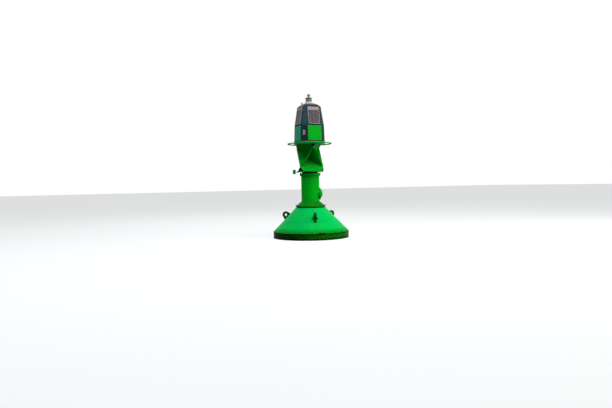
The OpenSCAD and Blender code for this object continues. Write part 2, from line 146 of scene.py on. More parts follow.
class Tree:
    """Adds nodes to one node tree and wires them."""

    def __init__(self, tree: NodeTree) -> None:
        """Keeps the tree that the nodes go into."""
        self.tree = tree

    def feed(self, socket: Socket, value: object) -> None:
        """Links a socket into an input, or sets the input's own value.

        Args:
            socket: The input.
            value: A socket to link from, or a plain value.
        """
        if isinstance(value, bpy.types.NodeSocket):
            self.tree.links.new(value, socket)
        elif socket.type == "RGBA":
            socket.default_value = (*value[:3], 1.0)
        else:
            socket.default_value = value

    def add(self, kind: str, inputs: Inputs | None = None, **settings: object) -> bpy.types.Node:
        """Adds a node.

        Args:
            kind: The node's type name.
            inputs: What goes into its inputs, by name or place.
            **settings: The node's own settings.

        Returns:
            The node.
        """
        node = self.tree.nodes.new(kind)
        for name, value in settings.items():
            setattr(node, name, value)
        for key, value in (inputs or {}).items():
            self.feed(node.inputs[key], value)
        return node

    def put(self, kind: str, inputs: Inputs | None = None, **settings: object) -> Socket:
        """Adds a node and returns its first output."""
        return self.add(kind, inputs, **settings).outputs[0]

    def math(self, operation: str, first: object, second: object = 0.0, third: object = 0.0) -> Socket:
        """Adds a Math node and returns its result."""
        return self.put("ShaderNodeMath", {0: first, 1: second, 2: third}, operation=operation)

    def times(self, first: object, second: object) -> Socket:
        """Multiplies two values."""
        return self.math("MULTIPLY", first, second)

    def plus(self, first: object, second: object) -> Socket:
        """Adds two values."""
        return self.math("ADD", first, second)

    def minus(self, first: object, second: object) -> Socket:
        """Takes the second value from the first."""
        return self.math("SUBTRACT", first, second)

    def line(self, value: object, slope: object, start: object) -> Socket:
        """Returns a value times a slope, and a start added to it."""
        return self.math("MULTIPLY_ADD", value, slope, start)

    def between(
        self, value: object, low: object, high: object, start: float = 0.0, end: float = 1.0
    ) -> Socket:
        """Returns a soft step, from start at the low value to end at the high one."""
        inputs = {"Value": value, "From Min": low, "From Max": high, "To Min": start, "To Max": end}
        return self.put("ShaderNodeMapRange", inputs, interpolation_type="SMOOTHSTEP")

    def mix(self, factor: object, first: object, second: object) -> Socket:
        """Mixes two colours and returns the result."""
        inputs = {0: factor, 6: first, 7: second}
        return self.add("ShaderNodeMix", inputs, data_type="RGBA", clamp_factor=True).outputs[2]

    def noise(self, vector: object, scale: object, detail: float = 4.0, roughness: float = 0.55) -> Socket:
        """Adds a noise texture and returns its value."""
        inputs = {"Vector": vector, "Scale": scale, "Detail": detail, "Roughness": roughness}
        return self.add("ShaderNodeTexNoise", inputs).outputs["Fac"]

    def stretch(self, vector: object, upright: float) -> Socket:
        """Scales a pattern's coordinates along the axis and returns them."""
        return self.put("ShaderNodeMapping", {"Vector": vector, "Scale": (1.0, 1.0, upright)})

    def axes(self, place: Socket) -> Sequence[Socket]:
        """Splits a place into x, y and z."""
        return self.add("ShaderNodeSeparateXYZ", {0: place}).outputs

    def group(self, group: NodeTree, inputs: Inputs) -> Sequence[Socket]:
        """Places a shader node group with its inputs and returns its outputs."""
        return self.add("ShaderNodeGroup", inputs, node_tree=group).outputs


class Kind(Enum):
    """Socket types of a group's inputs and outputs."""

    VALUE = "NodeSocketFloat"
    COLOUR = "NodeSocketColor"
    VECTOR = "NodeSocketVector"
    COUNT = "NodeSocketInt"
    SHAPE = "NodeSocketGeometry"
    MATERIAL = "NodeSocketMaterial"


Sockets = dict[str, Kind]


def values_for(*names: str) -> Sockets:
    """Returns sockets for plain values."""
    return dict.fromkeys(names, Kind.VALUE)


class Group(Tree):
    """A node group with named inputs and outputs."""

    def __init__(self, name: str, base: str, inputs: Sockets, outputs: Sockets) -> None:
        """Makes the group's tree with its sockets.

        Args:
            name: The group's name.
            base: The tree's type name.
            inputs: The inputs' names and types.
            outputs: The outputs' names and types.
        """
        super().__init__(bpy.data.node_groups.new(name, base))
        self.keys: dict[str, str] = {}
        for label, kind in inputs.items():
            socket = self.tree.interface.new_socket(label, in_out="INPUT", socket_type=kind.value)
            self.keys[label] = socket.identifier
        for label, kind in outputs.items():
            self.tree.interface.new_socket(label, in_out="OUTPUT", socket_type=kind.value)
        self.start = self.tree.nodes.new("NodeGroupInput")
        self.end = self.tree.nodes.new("NodeGroupOutput")

    def take(self, name: str) -> Socket:
        """Returns one of the group's inputs, to link from."""
        return self.start.outputs[name]

    def give(self, **values: object) -> NodeTree:
        """Feeds the group's outputs, named in small letters, and returns the finished tree.

        Args:
            **values: What goes into each output.

        Returns:
            The tree.
        """
        for name, value in values.items():
            self.feed(self.end.inputs[name.capitalize()], value)
        return self.tree


class Effects:
    """Shader groups that more than one finish uses."""

    @staticmethod
    def _start(name: str, inputs: Sockets, outputs: Sockets) -> tuple[Group, Callable[[str], Socket], Socket]:
        """Returns a new shader group, what takes its inputs, and its place."""
        group = Group(name, "ShaderNodeTree", {"Place": Kind.VECTOR, **inputs}, outputs)
        return group, group.take, group.take("Place")

    @functools.cached_property
    def patches(self) -> NodeTree:
        """Lets a colour wander to a second one in large soft patches and small mottles."""
        inputs = {"Colour": Kind.COLOUR, "Second": Kind.COLOUR, **values_for("Size", "Amount")}
        group, take, place = self._start("patches", inputs, {"Colour": Kind.COLOUR, "Mask": Kind.VALUE})
        scale = group.math("DIVIDE", 1.0, take("Size"))
        large = group.between(group.noise(place, scale, 3.0), 0.38, 0.68)
        small = group.between(group.noise(place, group.times(scale, 9.0), 5.0, 0.65), 0.35, 0.75)
        mask = group.times(group.line(small, 0.35, group.times(large, 0.65)), take("Amount"))
        return group.give(colour=group.mix(mask, take("Colour"), take("Second")), mask=mask)

    @functools.cached_property
    def streaks(self) -> NodeTree:
        """Masks thin upright runs of rain and dirt."""
        group, take, place = self._start("rain_streaks", values_for("Width", "Amount"), values_for("Mask"))
        scale = group.math("DIVIDE", 1.0, take("Width"))
        runs = group.between(group.noise(group.stretch(place, 0.055), scale, 3.0, 0.6), 0.5, 0.8)
        breaks = group.between(group.noise(place, 3.5, 4.0), 0.3, 0.7)
        return group.give(mask=group.times(group.times(runs, breaks), take("Amount")))

    @functools.cached_property
    def rust(self) -> NodeTree:
        """Scatters blooms of rust: a mask, its colour and how far it stands proud."""
        outputs = {"Mask": Kind.VALUE, "Colour": Kind.COLOUR, "Height": Kind.VALUE}
        group, take, place = self._start("rust_blooms", values_for("Amount", "Size"), outputs)
        blooms = group.noise(place, group.math("DIVIDE", 1.0, take("Size")), 9.0, 0.68)
        edge = group.minus(0.86, group.times(take("Amount"), 0.42))
        mask = group.between(blooms, edge, group.plus(edge, 0.05))
        fine = group.noise(place, 160.0, 6.0, 0.7)
        colour = group.mix(group.between(fine, 0.35, 0.65), srgb(62, 26, 12), srgb(158, 82, 34))
        return group.give(mask=mask, colour=colour, height=group.times(mask, fine))

    @functools.cached_property
    def edges(self) -> NodeTree:
        """Rounds sharp edges in the shading and masks where they are worn."""
        outputs = {"Normal": Kind.VECTOR, "Mask": Kind.VALUE}
        group, take, place = self._start("edge_wear", values_for("Radius", "Amount"), outputs)
        bevel = group.add("ShaderNodeBevel", {"Radius": take("Radius")}, samples=6)
        surface = group.add("ShaderNodeNewGeometry")
        sides = {0: bevel.outputs[0], 1: surface.outputs["Normal"]}
        dot = group.add("ShaderNodeVectorMath", sides, operation="DOT_PRODUCT")
        bend = group.between(dot.outputs["Value"], 0.995, 0.93)
        chips = group.between(group.noise(place, 34.0, 6.0, 0.7), 0.52, 0.62)
        return group.give(normal=bevel.outputs[0], mask=group.times(group.times(bend, chips), take("Amount")))

    @functools.cached_property
    def run_down(self) -> NodeTree:
        """Masks one run that starts at a height and fades on its way down, at a turn about the axis."""
        inputs = values_for("Turn", "Width", "Top", "Bottom", "Amount")
        group, take, place = self._start("run_down", inputs, values_for("Mask"))
        x, y, z = group.axes(place)
        turn = group.math("ARCTAN2", x, group.times(y, -1.0))
        target = group.math("RADIANS", take("Turn"))
        off = group.math("WRAP", group.minus(turn, target), math.pi, -math.pi)
        reach = group.math("SQRT", group.plus(group.times(x, x), group.times(y, y)))
        sway = group.minus(group.noise(group.stretch(place, 2.2), 3.0, 2.0), 0.5)
        across = group.plus(group.times(off, reach), group.times(sway, take("Width")))
        near = group.between(group.math("ABSOLUTE", across), take("Width"), 0.0)
        below_top = group.between(z, take("Bottom"), take("Top"))
        under = group.between(z, group.plus(take("Top"), 0.012), take("Top"))
        threads = group.between(group.noise(group.stretch(place, 0.08), 60.0, 4.0, 0.6), 0.3, 0.62, 0.35, 1.0)
        mask = group.times(group.times(near, below_top), group.times(under, threads))
        return group.give(mask=group.times(mask, take("Amount")))

    @functools.cached_property
    def growth(self) -> NodeTree:
        """Covers what lies below a wavering height with weed and slime."""
        outputs = {"Mask": Kind.VALUE, "Colour": Kind.COLOUR, "Height": Kind.VALUE}
        group, take, place = self._start("growth", values_for("Top", "Ragged", "Bright"), outputs)
        ragged = group.minus(group.noise(place, 7.0, 6.0, 0.62), 0.5)
        edge = group.line(ragged, take("Ragged"), take("Top"))
        mask = group.between(group.axes(place)[2], group.plus(edge, 0.008), group.minus(edge, 0.008))
        clumps = group.noise(group.stretch(place, 0.45), 22.0, 7.0, 0.66)
        fine = group.noise(group.stretch(place, 0.3), 130.0, 5.0, 0.7)
        deep = group.mix(group.between(fine, 0.35, 0.7), srgb(2, 10, 2), srgb(5, 34, 5))
        fresh = group.mix(group.between(fine, 0.3, 0.7), srgb(6, 70, 4), srgb(22, 134, 8))
        lush = group.plus(group.times(clumps, 0.7), group.times(take("Bright"), 0.5))
        colour = group.mix(group.between(lush, 0.42, 0.68), deep, fresh)
        brown = group.between(group.noise(place, 12.0, 6.0, 0.7), 0.6, 0.68)
        colour = group.mix(group.times(brown, 0.75), colour, srgb(74, 40, 18))
        return group.give(mask=mask, colour=colour, height=group.times(mask, group.plus(clumps, fine)))

    @functools.cached_property
    def grain(self) -> NodeTree:
        """Gives the height of a painted surface: soft waves, brush marks and orange peel."""
        group, take, place = self._start("paint_grain", values_for("Waves", "Peel"), values_for("Height"))
        waves = group.times(group.noise(place, 5.0, 2.0), take("Waves"))
        brushed = group.noise(group.stretch(place, 0.25), 55.0, 3.0)
        peel = group.noise(place, 320.0, 2.0)
        return group.give(height=group.plus(waves, group.times(group.plus(brushed, peel), take("Peel"))))


@dataclass(frozen=True)
class Run:
    """One run of rust or dirt down the buoy.

    Attributes:
        turn: Turn about the axis.
        top: Height at which it starts.
        bottom: Height at which it ends.
        width: Half its width.
        amount: How strong it is.
        colour: Its colour.
    """

    turn: float
    top: float
    bottom: float
    width: float
    amount: float
    colour: Rgb


PAINT_IOR = 1.08
PAINT_BLOOM = srgb(30, 205, 215)
RUST_RUN = srgb(104, 52, 18)
GRIME_RUN = srgb(0, 66, 16)
WORN_ALLOY = srgb(150, 156, 150)
BARE_IRON = srgb(34, 30, 24)
# Near-black for the painted shadow under the belt's lip and for the belt's foot at the waterline.
LIP_SHADOW_AND_WATERLINE_DARK = srgb(2, 12, 2)


class Surface(Tree):
    """The tree of one material: a shader on Object coordinates, with the shared effects at hand."""

    def __init__(self, name: str) -> None:
        """Makes the material with its shader and the place that its patterns read.

        Args:
            name: The material's name.
        """
        self.material = bpy.data.materials.new(name)
        self.material.use_nodes = True
        super().__init__(self.material.node_tree)
        self.tree.nodes.clear()
        self.place = self.add("ShaderNodeTexCoord").outputs["Object"]
        self.shader = self.add("ShaderNodeBsdfPrincipled")
        self.add("ShaderNodeOutputMaterial", {"Surface": self.shader.outputs[0]})

    def effect(self, group: NodeTree, **values: object) -> Sequence[Socket]:
        """Places an effect, its inputs named in small letters, and returns its outputs."""
        inputs = {name.capitalize(): value for name, value in values.items()}
        return self.group(group, {"Place": self.place, **inputs})

    def level(self, ragged: float = 0.0, scale: float = 5.0) -> Socket:
        """Returns the height of what is shaded, as it is or with a wavering edge.

        Args:
            ragged: How far the edge wavers, from side to side.
            scale: How close its waves are.

        Returns:
            The height.
        """
        height = self.axes(self.place)[2]
        if not ragged:
            return height
        wave = self.noise(self.place, scale, 5.0, 0.6)
        return self.plus(height, self.line(wave, ragged, -ragged / 2))

    def relief(self, height: Socket, normal: Socket, strength: float, distance: float) -> Socket:
        """Returns a normal in which a height stands out by a distance."""
        inputs = {"Height": height, "Normal": normal, "Strength": strength, "Distance": distance}
        return self.put("ShaderNodeBump", inputs)

    def finish(self, colour: object, rough: object, inputs: Inputs) -> Material:
        """Feeds the shader and returns the material.

        Args:
            colour: The base colour.
            rough: The roughness.
            inputs: What else goes into the shader, by name.

        Returns:
            The material.
        """
        for name, value in {"Base Color": colour, "Roughness": rough, **inputs}.items():
            self.feed(self.shader.inputs[name], value)
        return self.material


@dataclass(frozen=True)
class Finish:
    """A surface's look, as a procedural material on Object coordinates.

    Attributes:
        name: The material's name.
        colour: Its main colour.
    """

    name: str
    colour: Rgb

    def make(self, effects: Effects) -> Material:
        """Makes the material from the shared shader groups."""
        raise NotImplementedError


@dataclass(frozen=True)
class Blend(Finish):
    """A look whose colour wanders to a second one in soft patches.

    Attributes:
        second: The second colour.
    """

    second: Rgb


@dataclass(frozen=True)
class Paint(Blend):
    """Marine paint over steel.

    Attributes:
        rough: Roughness.
        patch_size: Size of the soft patches.
        patch: How far the patches go to the second colour.
        streak: Strength of the rain streaks.
        rust: How much rust blooms.
        wear: How much the edges are worn.
        edge: Radius to which sharp edges look rounded.
        sheen: Weight of the pale bloom at grazing angles.
        upper: Colour over a height, or None; on the roof it is a painted sky reflection.
        upper_from: That height.
        runs: Runs of rust and dirt.
        slime_top: Height up to which slime creeps, or None.
        slime_ragged: How far the slime's edge wanders.
        film: Colour to which the paint goes darker towards the cone's foot, fading out by 0.18 m over the
            slime's top, or None.
    """

    rough: float = 0.42
    patch_size: float = 0.35
    patch: float = 0.45
    streak: float = 0.35
    rust: float = 0.12
    wear: float = 0.5
    edge: float = 0.003
    sheen: float = 0.0
    upper: Rgb | None = None
    upper_from: float = 0.0
    runs: tuple[Run, ...] = ()
    slime_top: float | None = None
    slime_ragged: float = 0.1
    film: Rgb | None = None

    def _tinted(self, paint: Surface, colour: Socket) -> Socket:
        """Puts the upper colour over its height, a painted sky reflection on the roof, and makes the paint
        darker towards the cone's foot over the slime.

        Args:
            paint: The material's tree.
            colour: The colour so far.

        Returns:
            The colour.
        """
        if self.upper:
            # On the roof this upper colour is a painted sky reflection.
            soft = 0.02
            above = paint.between(paint.level(), self.upper_from - soft, self.upper_from + soft)
            colour = paint.mix(above, colour, self.upper)
        if self.film:
            # Darker green towards the cone's foot, fading out upward.
            thick, gone = self.slime_top + 0.02, self.slime_top + 0.18
            wet = paint.between(paint.level(0.10), thick, gone, 1.0, 0.0)
            colour = paint.mix(wet, colour, self.film)
        return colour

    def _stained(self, paint: Surface, effects: Effects, colour: Socket) -> Socket:
        """Lets rain streaks and runs down the paint.

        Args:
            paint: The material's tree.
            effects: The shared shader groups.
            colour: The colour so far.

        Returns:
            The colour.
        """
        streaks = paint.effect(effects.streaks, width=0.03, amount=self.streak)
        colour = paint.mix(streaks["Mask"], colour, shade(self.second, 0.42))
        for run in self.runs:
            values = asdict(run)
            stain = values.pop("colour")
            colour = paint.mix(paint.effect(effects.run_down, **values)["Mask"], colour, stain)
        return colour

    def make(self, effects: Effects) -> Material:
        """Makes the painted material from the shared effects.

        Args:
            effects: The shared shader groups.

        Returns:
            The material.
        """
        paint = Surface(self.name)
        patches = paint.effect(
            effects.patches, colour=self.colour, second=self.second, size=self.patch_size, amount=self.patch
        )
        colour = self._stained(paint, effects, self._tinted(paint, patches["Colour"]))
        rust = paint.effect(effects.rust, amount=self.rust, size=0.16)
        edges = paint.effect(effects.edges, radius=self.edge, amount=self.wear)
        bare = paint.math("MAXIMUM", rust["Mask"], edges["Mask"])
        colour = paint.mix(bare, colour, rust["Colour"])
        rough = paint.plus(paint.line(patches["Mask"], 0.2, self.rough), paint.times(bare, 0.4))
        grain = paint.effect(effects.grain, waves=0.6, peel=0.12)
        height = paint.plus(grain["Height"], rust["Height"])
        if self.slime_top is not None:
            growth = paint.effect(effects.growth, top=self.slime_top, ragged=self.slime_ragged, bright=0.2)
            colour = paint.mix(growth["Mask"], colour, growth["Colour"])
            rough = paint.times(rough, paint.between(growth["Mask"], 0.0, 1.0, 1.0, 0.6))
            height = paint.plus(height, growth["Height"])
        normal = paint.relief(height, edges["Normal"], 0.35, 0.0015)
        plain = {"IOR": PAINT_IOR, "Sheen Weight": self.sheen, "Sheen Tint": PAINT_BLOOM}
        return paint.finish(colour, rough, {"Normal": normal, **plain})


@dataclass(frozen=True)
class Overgrown(Finish):
    """Steel that stands in the water, under weed and slime.

    Attributes:
        top: Height up to which all is overgrown.
        ragged: How far the growth's edge wanders.
        bright: How bright green the weed is painted on the lit side, a painted highlight; the far side gets a
            fifth of that.
        sunny_turn: Turn of the lit side, where the weed is painted brightest.
        rough: Roughness.
        green_from: Height from which the weed is green up to green_to, with near-black below it towards the
            waterline, or None.
        green_to: Height up to which it is green; above it, under the lip, a near-black band is the lip's
            painted shadow.
    """

    top: float
    ragged: float
    bright: float
    sunny_turn: float = 72.0
    rough: float = 0.5
    green_from: float | None = None
    green_to: float = 0.0

    def make(self, effects: Effects) -> Material:
        """Makes the overgrown material.

        Args:
            effects: The shared shader groups.

        Returns:
            The material.
        """
        steel = Surface(self.name)
        # Painted highlight: the weed is painted brighter green on the side towards the lit turn and duller on
        # the far side.
        lit_side = {0: steel.place, 1: tuple(outward(self.sunny_turn))}
        side = steel.add("ShaderNodeVectorMath", lit_side, operation="DOT_PRODUCT").outputs["Value"]
        bright = steel.between(side, -1.3, 1.2, 0.2 * self.bright, self.bright)
        growth = steel.effect(effects.growth, top=self.top, ragged=self.ragged, bright=bright)
        rust = steel.effect(effects.rust, amount=0.42, size=0.2)
        paint = steel.mix(rust["Mask"], self.colour, rust["Colour"])
        colour = steel.mix(growth["Mask"], paint, growth["Colour"])
        spots = steel.between(steel.noise(steel.place, 16.0, 5.0, 0.7), 0.66, 0.7, 0.0, 0.7)
        colour = steel.mix(spots, colour, rust["Colour"])
        # Painted shadow: a near-black band just under the lip stands for the lip's shadow, and the belt also
        # goes near-black towards the waterline.
        if self.green_from is not None:
            level = steel.level(0.08, 7.0)
            over = steel.between(level, self.green_to - 0.008, self.green_to + 0.008)
            under = steel.between(level, self.green_from + 0.02, self.green_from - 0.02)
            dark = steel.times(steel.math("MAXIMUM", over, under), 0.85)
            colour = steel.mix(dark, colour, LIP_SHADOW_AND_WATERLINE_DARK)
        wet = steel.between(steel.noise(steel.place, 9.0, 4.0), 0.4, 0.65, self.rough, self.rough - 0.22)
        edges = steel.effect(effects.edges, radius=0.004, amount=0.0)
        normal = steel.relief(steel.plus(growth["Height"], rust["Height"]), edges["Normal"], 0.8, 0.006)
        return steel.finish(colour, wet, {"Normal": normal, "IOR": PAINT_IOR})


@dataclass(frozen=True)
class Reflective(Blend):
    """Green reflective sheeting on a number plate, with its honeycomb of small cells.

    Attributes:
        cell: Width of one cell.
    """

    cell: float = 0.0045

    def make(self, effects: Effects) -> Material:
        """Makes the sheeting's material.

        Args:
            effects: The shared shader groups.

        Returns:
            The material.
        """
        sheet = Surface(self.name)
        patches = sheet.effect(
            effects.patches, colour=self.colour, second=self.second, size=0.22, amount=0.35
        )
        pattern = {"Vector": sheet.place, "Scale": 1 / self.cell}
        cells = sheet.add("ShaderNodeTexVoronoi", pattern, feature="DISTANCE_TO_EDGE").outputs["Distance"]
        walls = sheet.times(sheet.between(cells, 0.1, 0.02), 0.3)
        pale = tuple(min(1.0, value * 1.35 + 0.01) for value in self.colour)
        colour = sheet.mix(walls, patches["Colour"], pale)
        streaks = sheet.effect(effects.streaks, width=0.02, amount=0.3)
        colour = sheet.mix(streaks["Mask"], colour, shade(self.second, 0.4))
        edges = sheet.effect(effects.edges, radius=0.002, amount=0.35)
        colour = sheet.mix(edges["Mask"], colour, WORN_ALLOY)
        grain = sheet.effect(effects.grain, waves=0.3, peel=0.05)
        normal = sheet.relief(grain["Height"], edges["Normal"], 0.25, 0.001)
        rough = sheet.line(patches["Mask"], 0.2, 0.32)
        return sheet.finish(colour, rough, {"Normal": normal, "IOR": PAINT_IOR})


@dataclass(frozen=True)
class Plain(Blend):
    """Metal, plastic or glass facing with soft patches, dust and fine grain.

    Attributes:
        rough: Roughness.
        metallic: How metallic it is.
        coat: Weight of the clear gloss.
        ior: How strongly it mirrors, as an index of refraction.
        patch: How far the patches go.
        patch_size: Size of the patches.
        streak: Strength of the rain streaks.
        rust: How much rust blooms.
        edge: Radius to which sharp edges look rounded.
    """

    rough: float = 0.45
    metallic: float = 0.0
    coat: float = 0.0
    ior: float = 1.4
    patch: float = 0.5
    patch_size: float = 0.12
    streak: float = 0.3
    rust: float = 0.0
    edge: float = 0.0015

    def make(self, effects: Effects) -> Material:
        """Makes the material.

        Args:
            effects: The shared shader groups.

        Returns:
            The material.
        """
        facing = Surface(self.name)
        patches = facing.effect(
            effects.patches, colour=self.colour, second=self.second, size=self.patch_size, amount=self.patch
        )
        streaks = facing.effect(effects.streaks, width=0.015, amount=self.streak)
        colour = facing.mix(streaks["Mask"], patches["Colour"], shade(self.second, 0.45))
        edges = facing.effect(effects.edges, radius=self.edge, amount=0.25)
        height = facing.effect(effects.grain, waves=0.15, peel=0.15)["Height"]
        rough = facing.line(patches["Mask"], 0.25, self.rough)
        if self.rust:
            rust = facing.effect(effects.rust, amount=self.rust, size=0.1)
            colour = facing.mix(rust["Mask"], colour, rust["Colour"])
            rough = facing.line(rust["Mask"], 0.3, rough)
            height = facing.plus(height, rust["Height"])
        normal = facing.relief(height, edges["Normal"], 0.25, 0.001)
        plain = {"Metallic": self.metallic, "IOR": self.ior, "Coat Weight": self.coat, "Coat Roughness": 0.08}
        return facing.finish(colour, rough, {"Normal": normal, **plain})


@dataclass(frozen=True)
class Clear(Finish):
    """Clear moulded plastic of the lens, under a thin coat of salt.

    Attributes:
        rough: Roughness.
        through: Share of the light that goes through it.
    """

    rough: float = 0.06
    through: float = 0.4

    def make(self, effects: Effects) -> Material:
        """Makes the clear material.

        Args:
            effects: The shared shader groups; not used.

        Returns:
            The material.
        """
        lens = Surface(self.name)
        salt = lens.noise(lens.place, 90.0, 6.0, 0.7)
        colour = lens.mix(lens.between(salt, 0.4, 0.7), self.colour, shade(self.colour, 0.82))
        rough = lens.between(salt, 0.35, 0.75, self.rough, self.rough + 0.1)
        return lens.finish(colour, rough, {"Transmission Weight": self.through, "IOR": 1.49})


@dataclass(frozen=True)
class CastIron(Finish):
    """Rough cast iron under rust and growth."""

    def make(self, effects: Effects) -> Material:
        """Makes the cast iron's material.

        Args:
            effects: The shared shader groups.

        Returns:
            The material.
        """
        iron = Surface(self.name)
        patches = iron.effect(effects.patches, colour=self.colour, second=BARE_IRON, size=0.15, amount=0.8)
        rust = iron.effect(effects.rust, amount=0.75, size=0.12)
        colour = iron.mix(rust["Mask"], patches["Colour"], rust["Colour"])
        growth = iron.effect(effects.growth, top=0.0, ragged=0.0, bright=0.1)
        cover = iron.between(iron.noise(iron.place, 8.0, 5.0, 0.6), 0.48, 0.6, 0.0, 0.85)
        colour = iron.mix(cover, colour, growth["Colour"])
        sand = iron.noise(iron.place, 240.0, 4.0, 0.7)
        edges = iron.effect(effects.edges, radius=0.006, amount=0.0)
        normal = iron.relief(iron.plus(sand, rust["Height"]), edges["Normal"], 0.8, 0.003)
        return iron.finish(colour, iron.between(sand, 0.3, 0.7, 0.7, 0.95), {"Normal": normal})


class FinishBook:
    """Makes each finish once and puts it on pieces and nodes."""

    def __init__(self, effects: Effects) -> None:
        """Starts with no material made."""
        self.effects = effects
        self.made: dict[Finish, Material] = {}

    def material(self, finish: Finish) -> Material:
        """Returns the material of a finish, made at its first use.

        Args:
            finish: The finish.

        Returns:
            The material.
        """
        if finish not in self.made:
            self.made[finish] = finish.make(self.effects)
        return self.made[finish]

    def dress(self, finish: Finish, *nodes: str) -> None:
        """Puts a finish on CAD nodes.

        Args:
            finish: The finish.
            *nodes: The nodes' names.
        """
        for name in nodes:
            for place in frame["nodes"][name].material_slots:
                place.material = self.material(finish)


def smooth(mesh: Mesh, angle: float = 32.0) -> None:
    """Shades a mesh smooth, with its edges sharp past an angle in degrees."""
    mesh.polygons.foreach_set("use_smooth", [True] * len(mesh.polygons))
    mesh.set_sharp_from_angle(angle=math.radians(angle))


def add_object(name: str, data: bpy.types.ID) -> bpy.types.Object:
    """Puts a mesh, a camera or a lamp into the scene.

    Args:
        name: Its name.
        data: What it shows.

    Returns:
        The object.
    """
    thing = bpy.data.objects.new(name, data)
    bpy.context.scene.collection.objects.link(thing)
    return thing


def piece(name: str, mesh: Mesh, slot: str, *replaced: str) -> None:
    """Puts a finished mesh into the scene as a piece of the buoy.

    Args:
        name: The piece's name.
        mesh: Its mesh, in place.
        slot: The record's material slot; not used.
        *replaced: The CAD nodes that it stands for.
    """
    thing = add_object(name, mesh)
    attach(thing, "root")
    if replaced:
        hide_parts(*replaced)
    LOG.info("%s: %d faces", name, len(mesh.polygons))


def as_mesh(shape: bmesh.types.BMesh, name: str) -> Mesh:
    """Turns a shape into a plain mesh and lets the shape go.

    Args:
        shape: The shape.
        name: Its name.

    Returns:
        The mesh.
    """
    mesh = bpy.data.meshes.new(name)
    shape.to_mesh(mesh)
    shape.free()
    return mesh


def lathe(
    name: str,
    profile: Sequence[tuple[float, float]],
    steps: int,
    dent: Callable[[Vector], float] | None = None,
    loop: bool = False,
    angle: float = 32.0,
) -> Mesh:
    """Turns a profile about the axis into a closed mesh.

    Args:
        name: The mesh's name.
        profile: Radius and height of each point, from the bottom's middle to the top's, or all round a wall.
        steps: Number of steps round the axis.
        dent: How far a point moves in towards the axis, or None.
        loop: Whether the last point joins the first, as round a wall.
        angle: Angle past which edges are sharp, in degrees.

    Returns:
        The mesh.
    """
    shape = bmesh.new()
    rings = []
    for radius, height in profile:
        if radius <= 0:
            rings.append([shape.verts.new((0.0, 0.0, height))])
            continue
        ring = []
        for k in range(steps):
            place = at_turn(360 * k / steps, radius, height)
            if dent:
                place = place - outward(360 * k / steps) * dent(place)
            ring.append(shape.verts.new(place))
        rings.append(ring)
    for low, high in zip(rings, rings[1:] + (rings[:1] if loop else [])):
        for k in range(steps):
            after = (k + 1) % steps
            corners = [low[k % len(low)], low[after % len(low)], high[after % len(high)], high[k % len(high)]]
            distinct = list(dict.fromkeys(corners))
            if len(distinct) > 2:
                shape.faces.new(distinct)
    bmesh.ops.recalc_face_normals(shape, faces=shape.faces)
    mesh = as_mesh(shape, name)
    smooth(mesh, angle)
    return mesh


def box_mesh(name: str, low: Point, high: Point, bevel: float = 0.0) -> Mesh:
    """Makes a box with bevelled edges.

    Args:
        name: The mesh's name.
        low: Its lowest corner.
        high: Its highest corner.
        bevel: Width of the bevel, or 0.

    Returns:
        The mesh.
    """
    shape = bmesh.new()
    middle = (Vector(low) + Vector(high)) / 2
    size = Vector(high) - Vector(low)
    matrix = Matrix.Translation(middle) @ Matrix.Diagonal((*size, 1.0))
    made = bmesh.ops.create_cube(shape, size=1.0, matrix=matrix)["verts"]
    if bevel:
        edges = list({edge for vert in made for edge in vert.link_edges})
        bmesh.ops.bevel(shape, geom=edges, offset=bevel, segments=2, profile=0.5, affect="EDGES")
    return as_mesh(shape, name)


def paths_mesh(name: str, paths: Sequence[Path]) -> Mesh:
    """Turns paths into a mesh of edges.

    Args:
        name: The mesh's name.
        paths: The paths' points, and a closed path ends where it starts.

    Returns:
        The mesh.
    """
    places: list[Vector] = []
    edges: list[tuple[int, int]] = []
    for path in paths:
        closed = (path[0] - path[-1]).length < 1e-6
        points = list(path[:-1] if closed else path)
        first = len(places)
        places.extend(points)
        edges.extend((first + k, first + k + 1) for k in range(len(points) - 1))
        if closed:
            edges.append((first + len(points) - 1, first))
    mesh = bpy.data.meshes.new(name)
    mesh.from_pydata(places, edges, [])
    return mesh


def circle_path(middle: Vector, across: Vector, up: Vector, radius: float, steps: int) -> Path:
    """Returns the places of a closed circle in the plane of two directions square to each other."""
    angles = [math.tau * (n % steps) / steps for n in range(steps + 1)]
    return [middle + across * (math.cos(a) * radius) + up * (math.sin(a) * radius) for a in angles]


@dataclass(frozen=True)
class Scatter:
    """How something is scattered over a surface.

    Attributes:
        density: Number to the square metre where it is thickest.
        low: Height up to which it is thickest.
        high: Height at which it ends.
        small: Size of the smallest.
        large: Size of the largest.
        seed: Seed of its random draws.
    """

    density: float
    low: float
    high: float
    small: float
    large: float
    seed: int

    @property
    def inputs(self) -> Inputs:
        """What goes into a scattering tree."""
        return {name.capitalize(): value for name, value in asdict(self).items()}


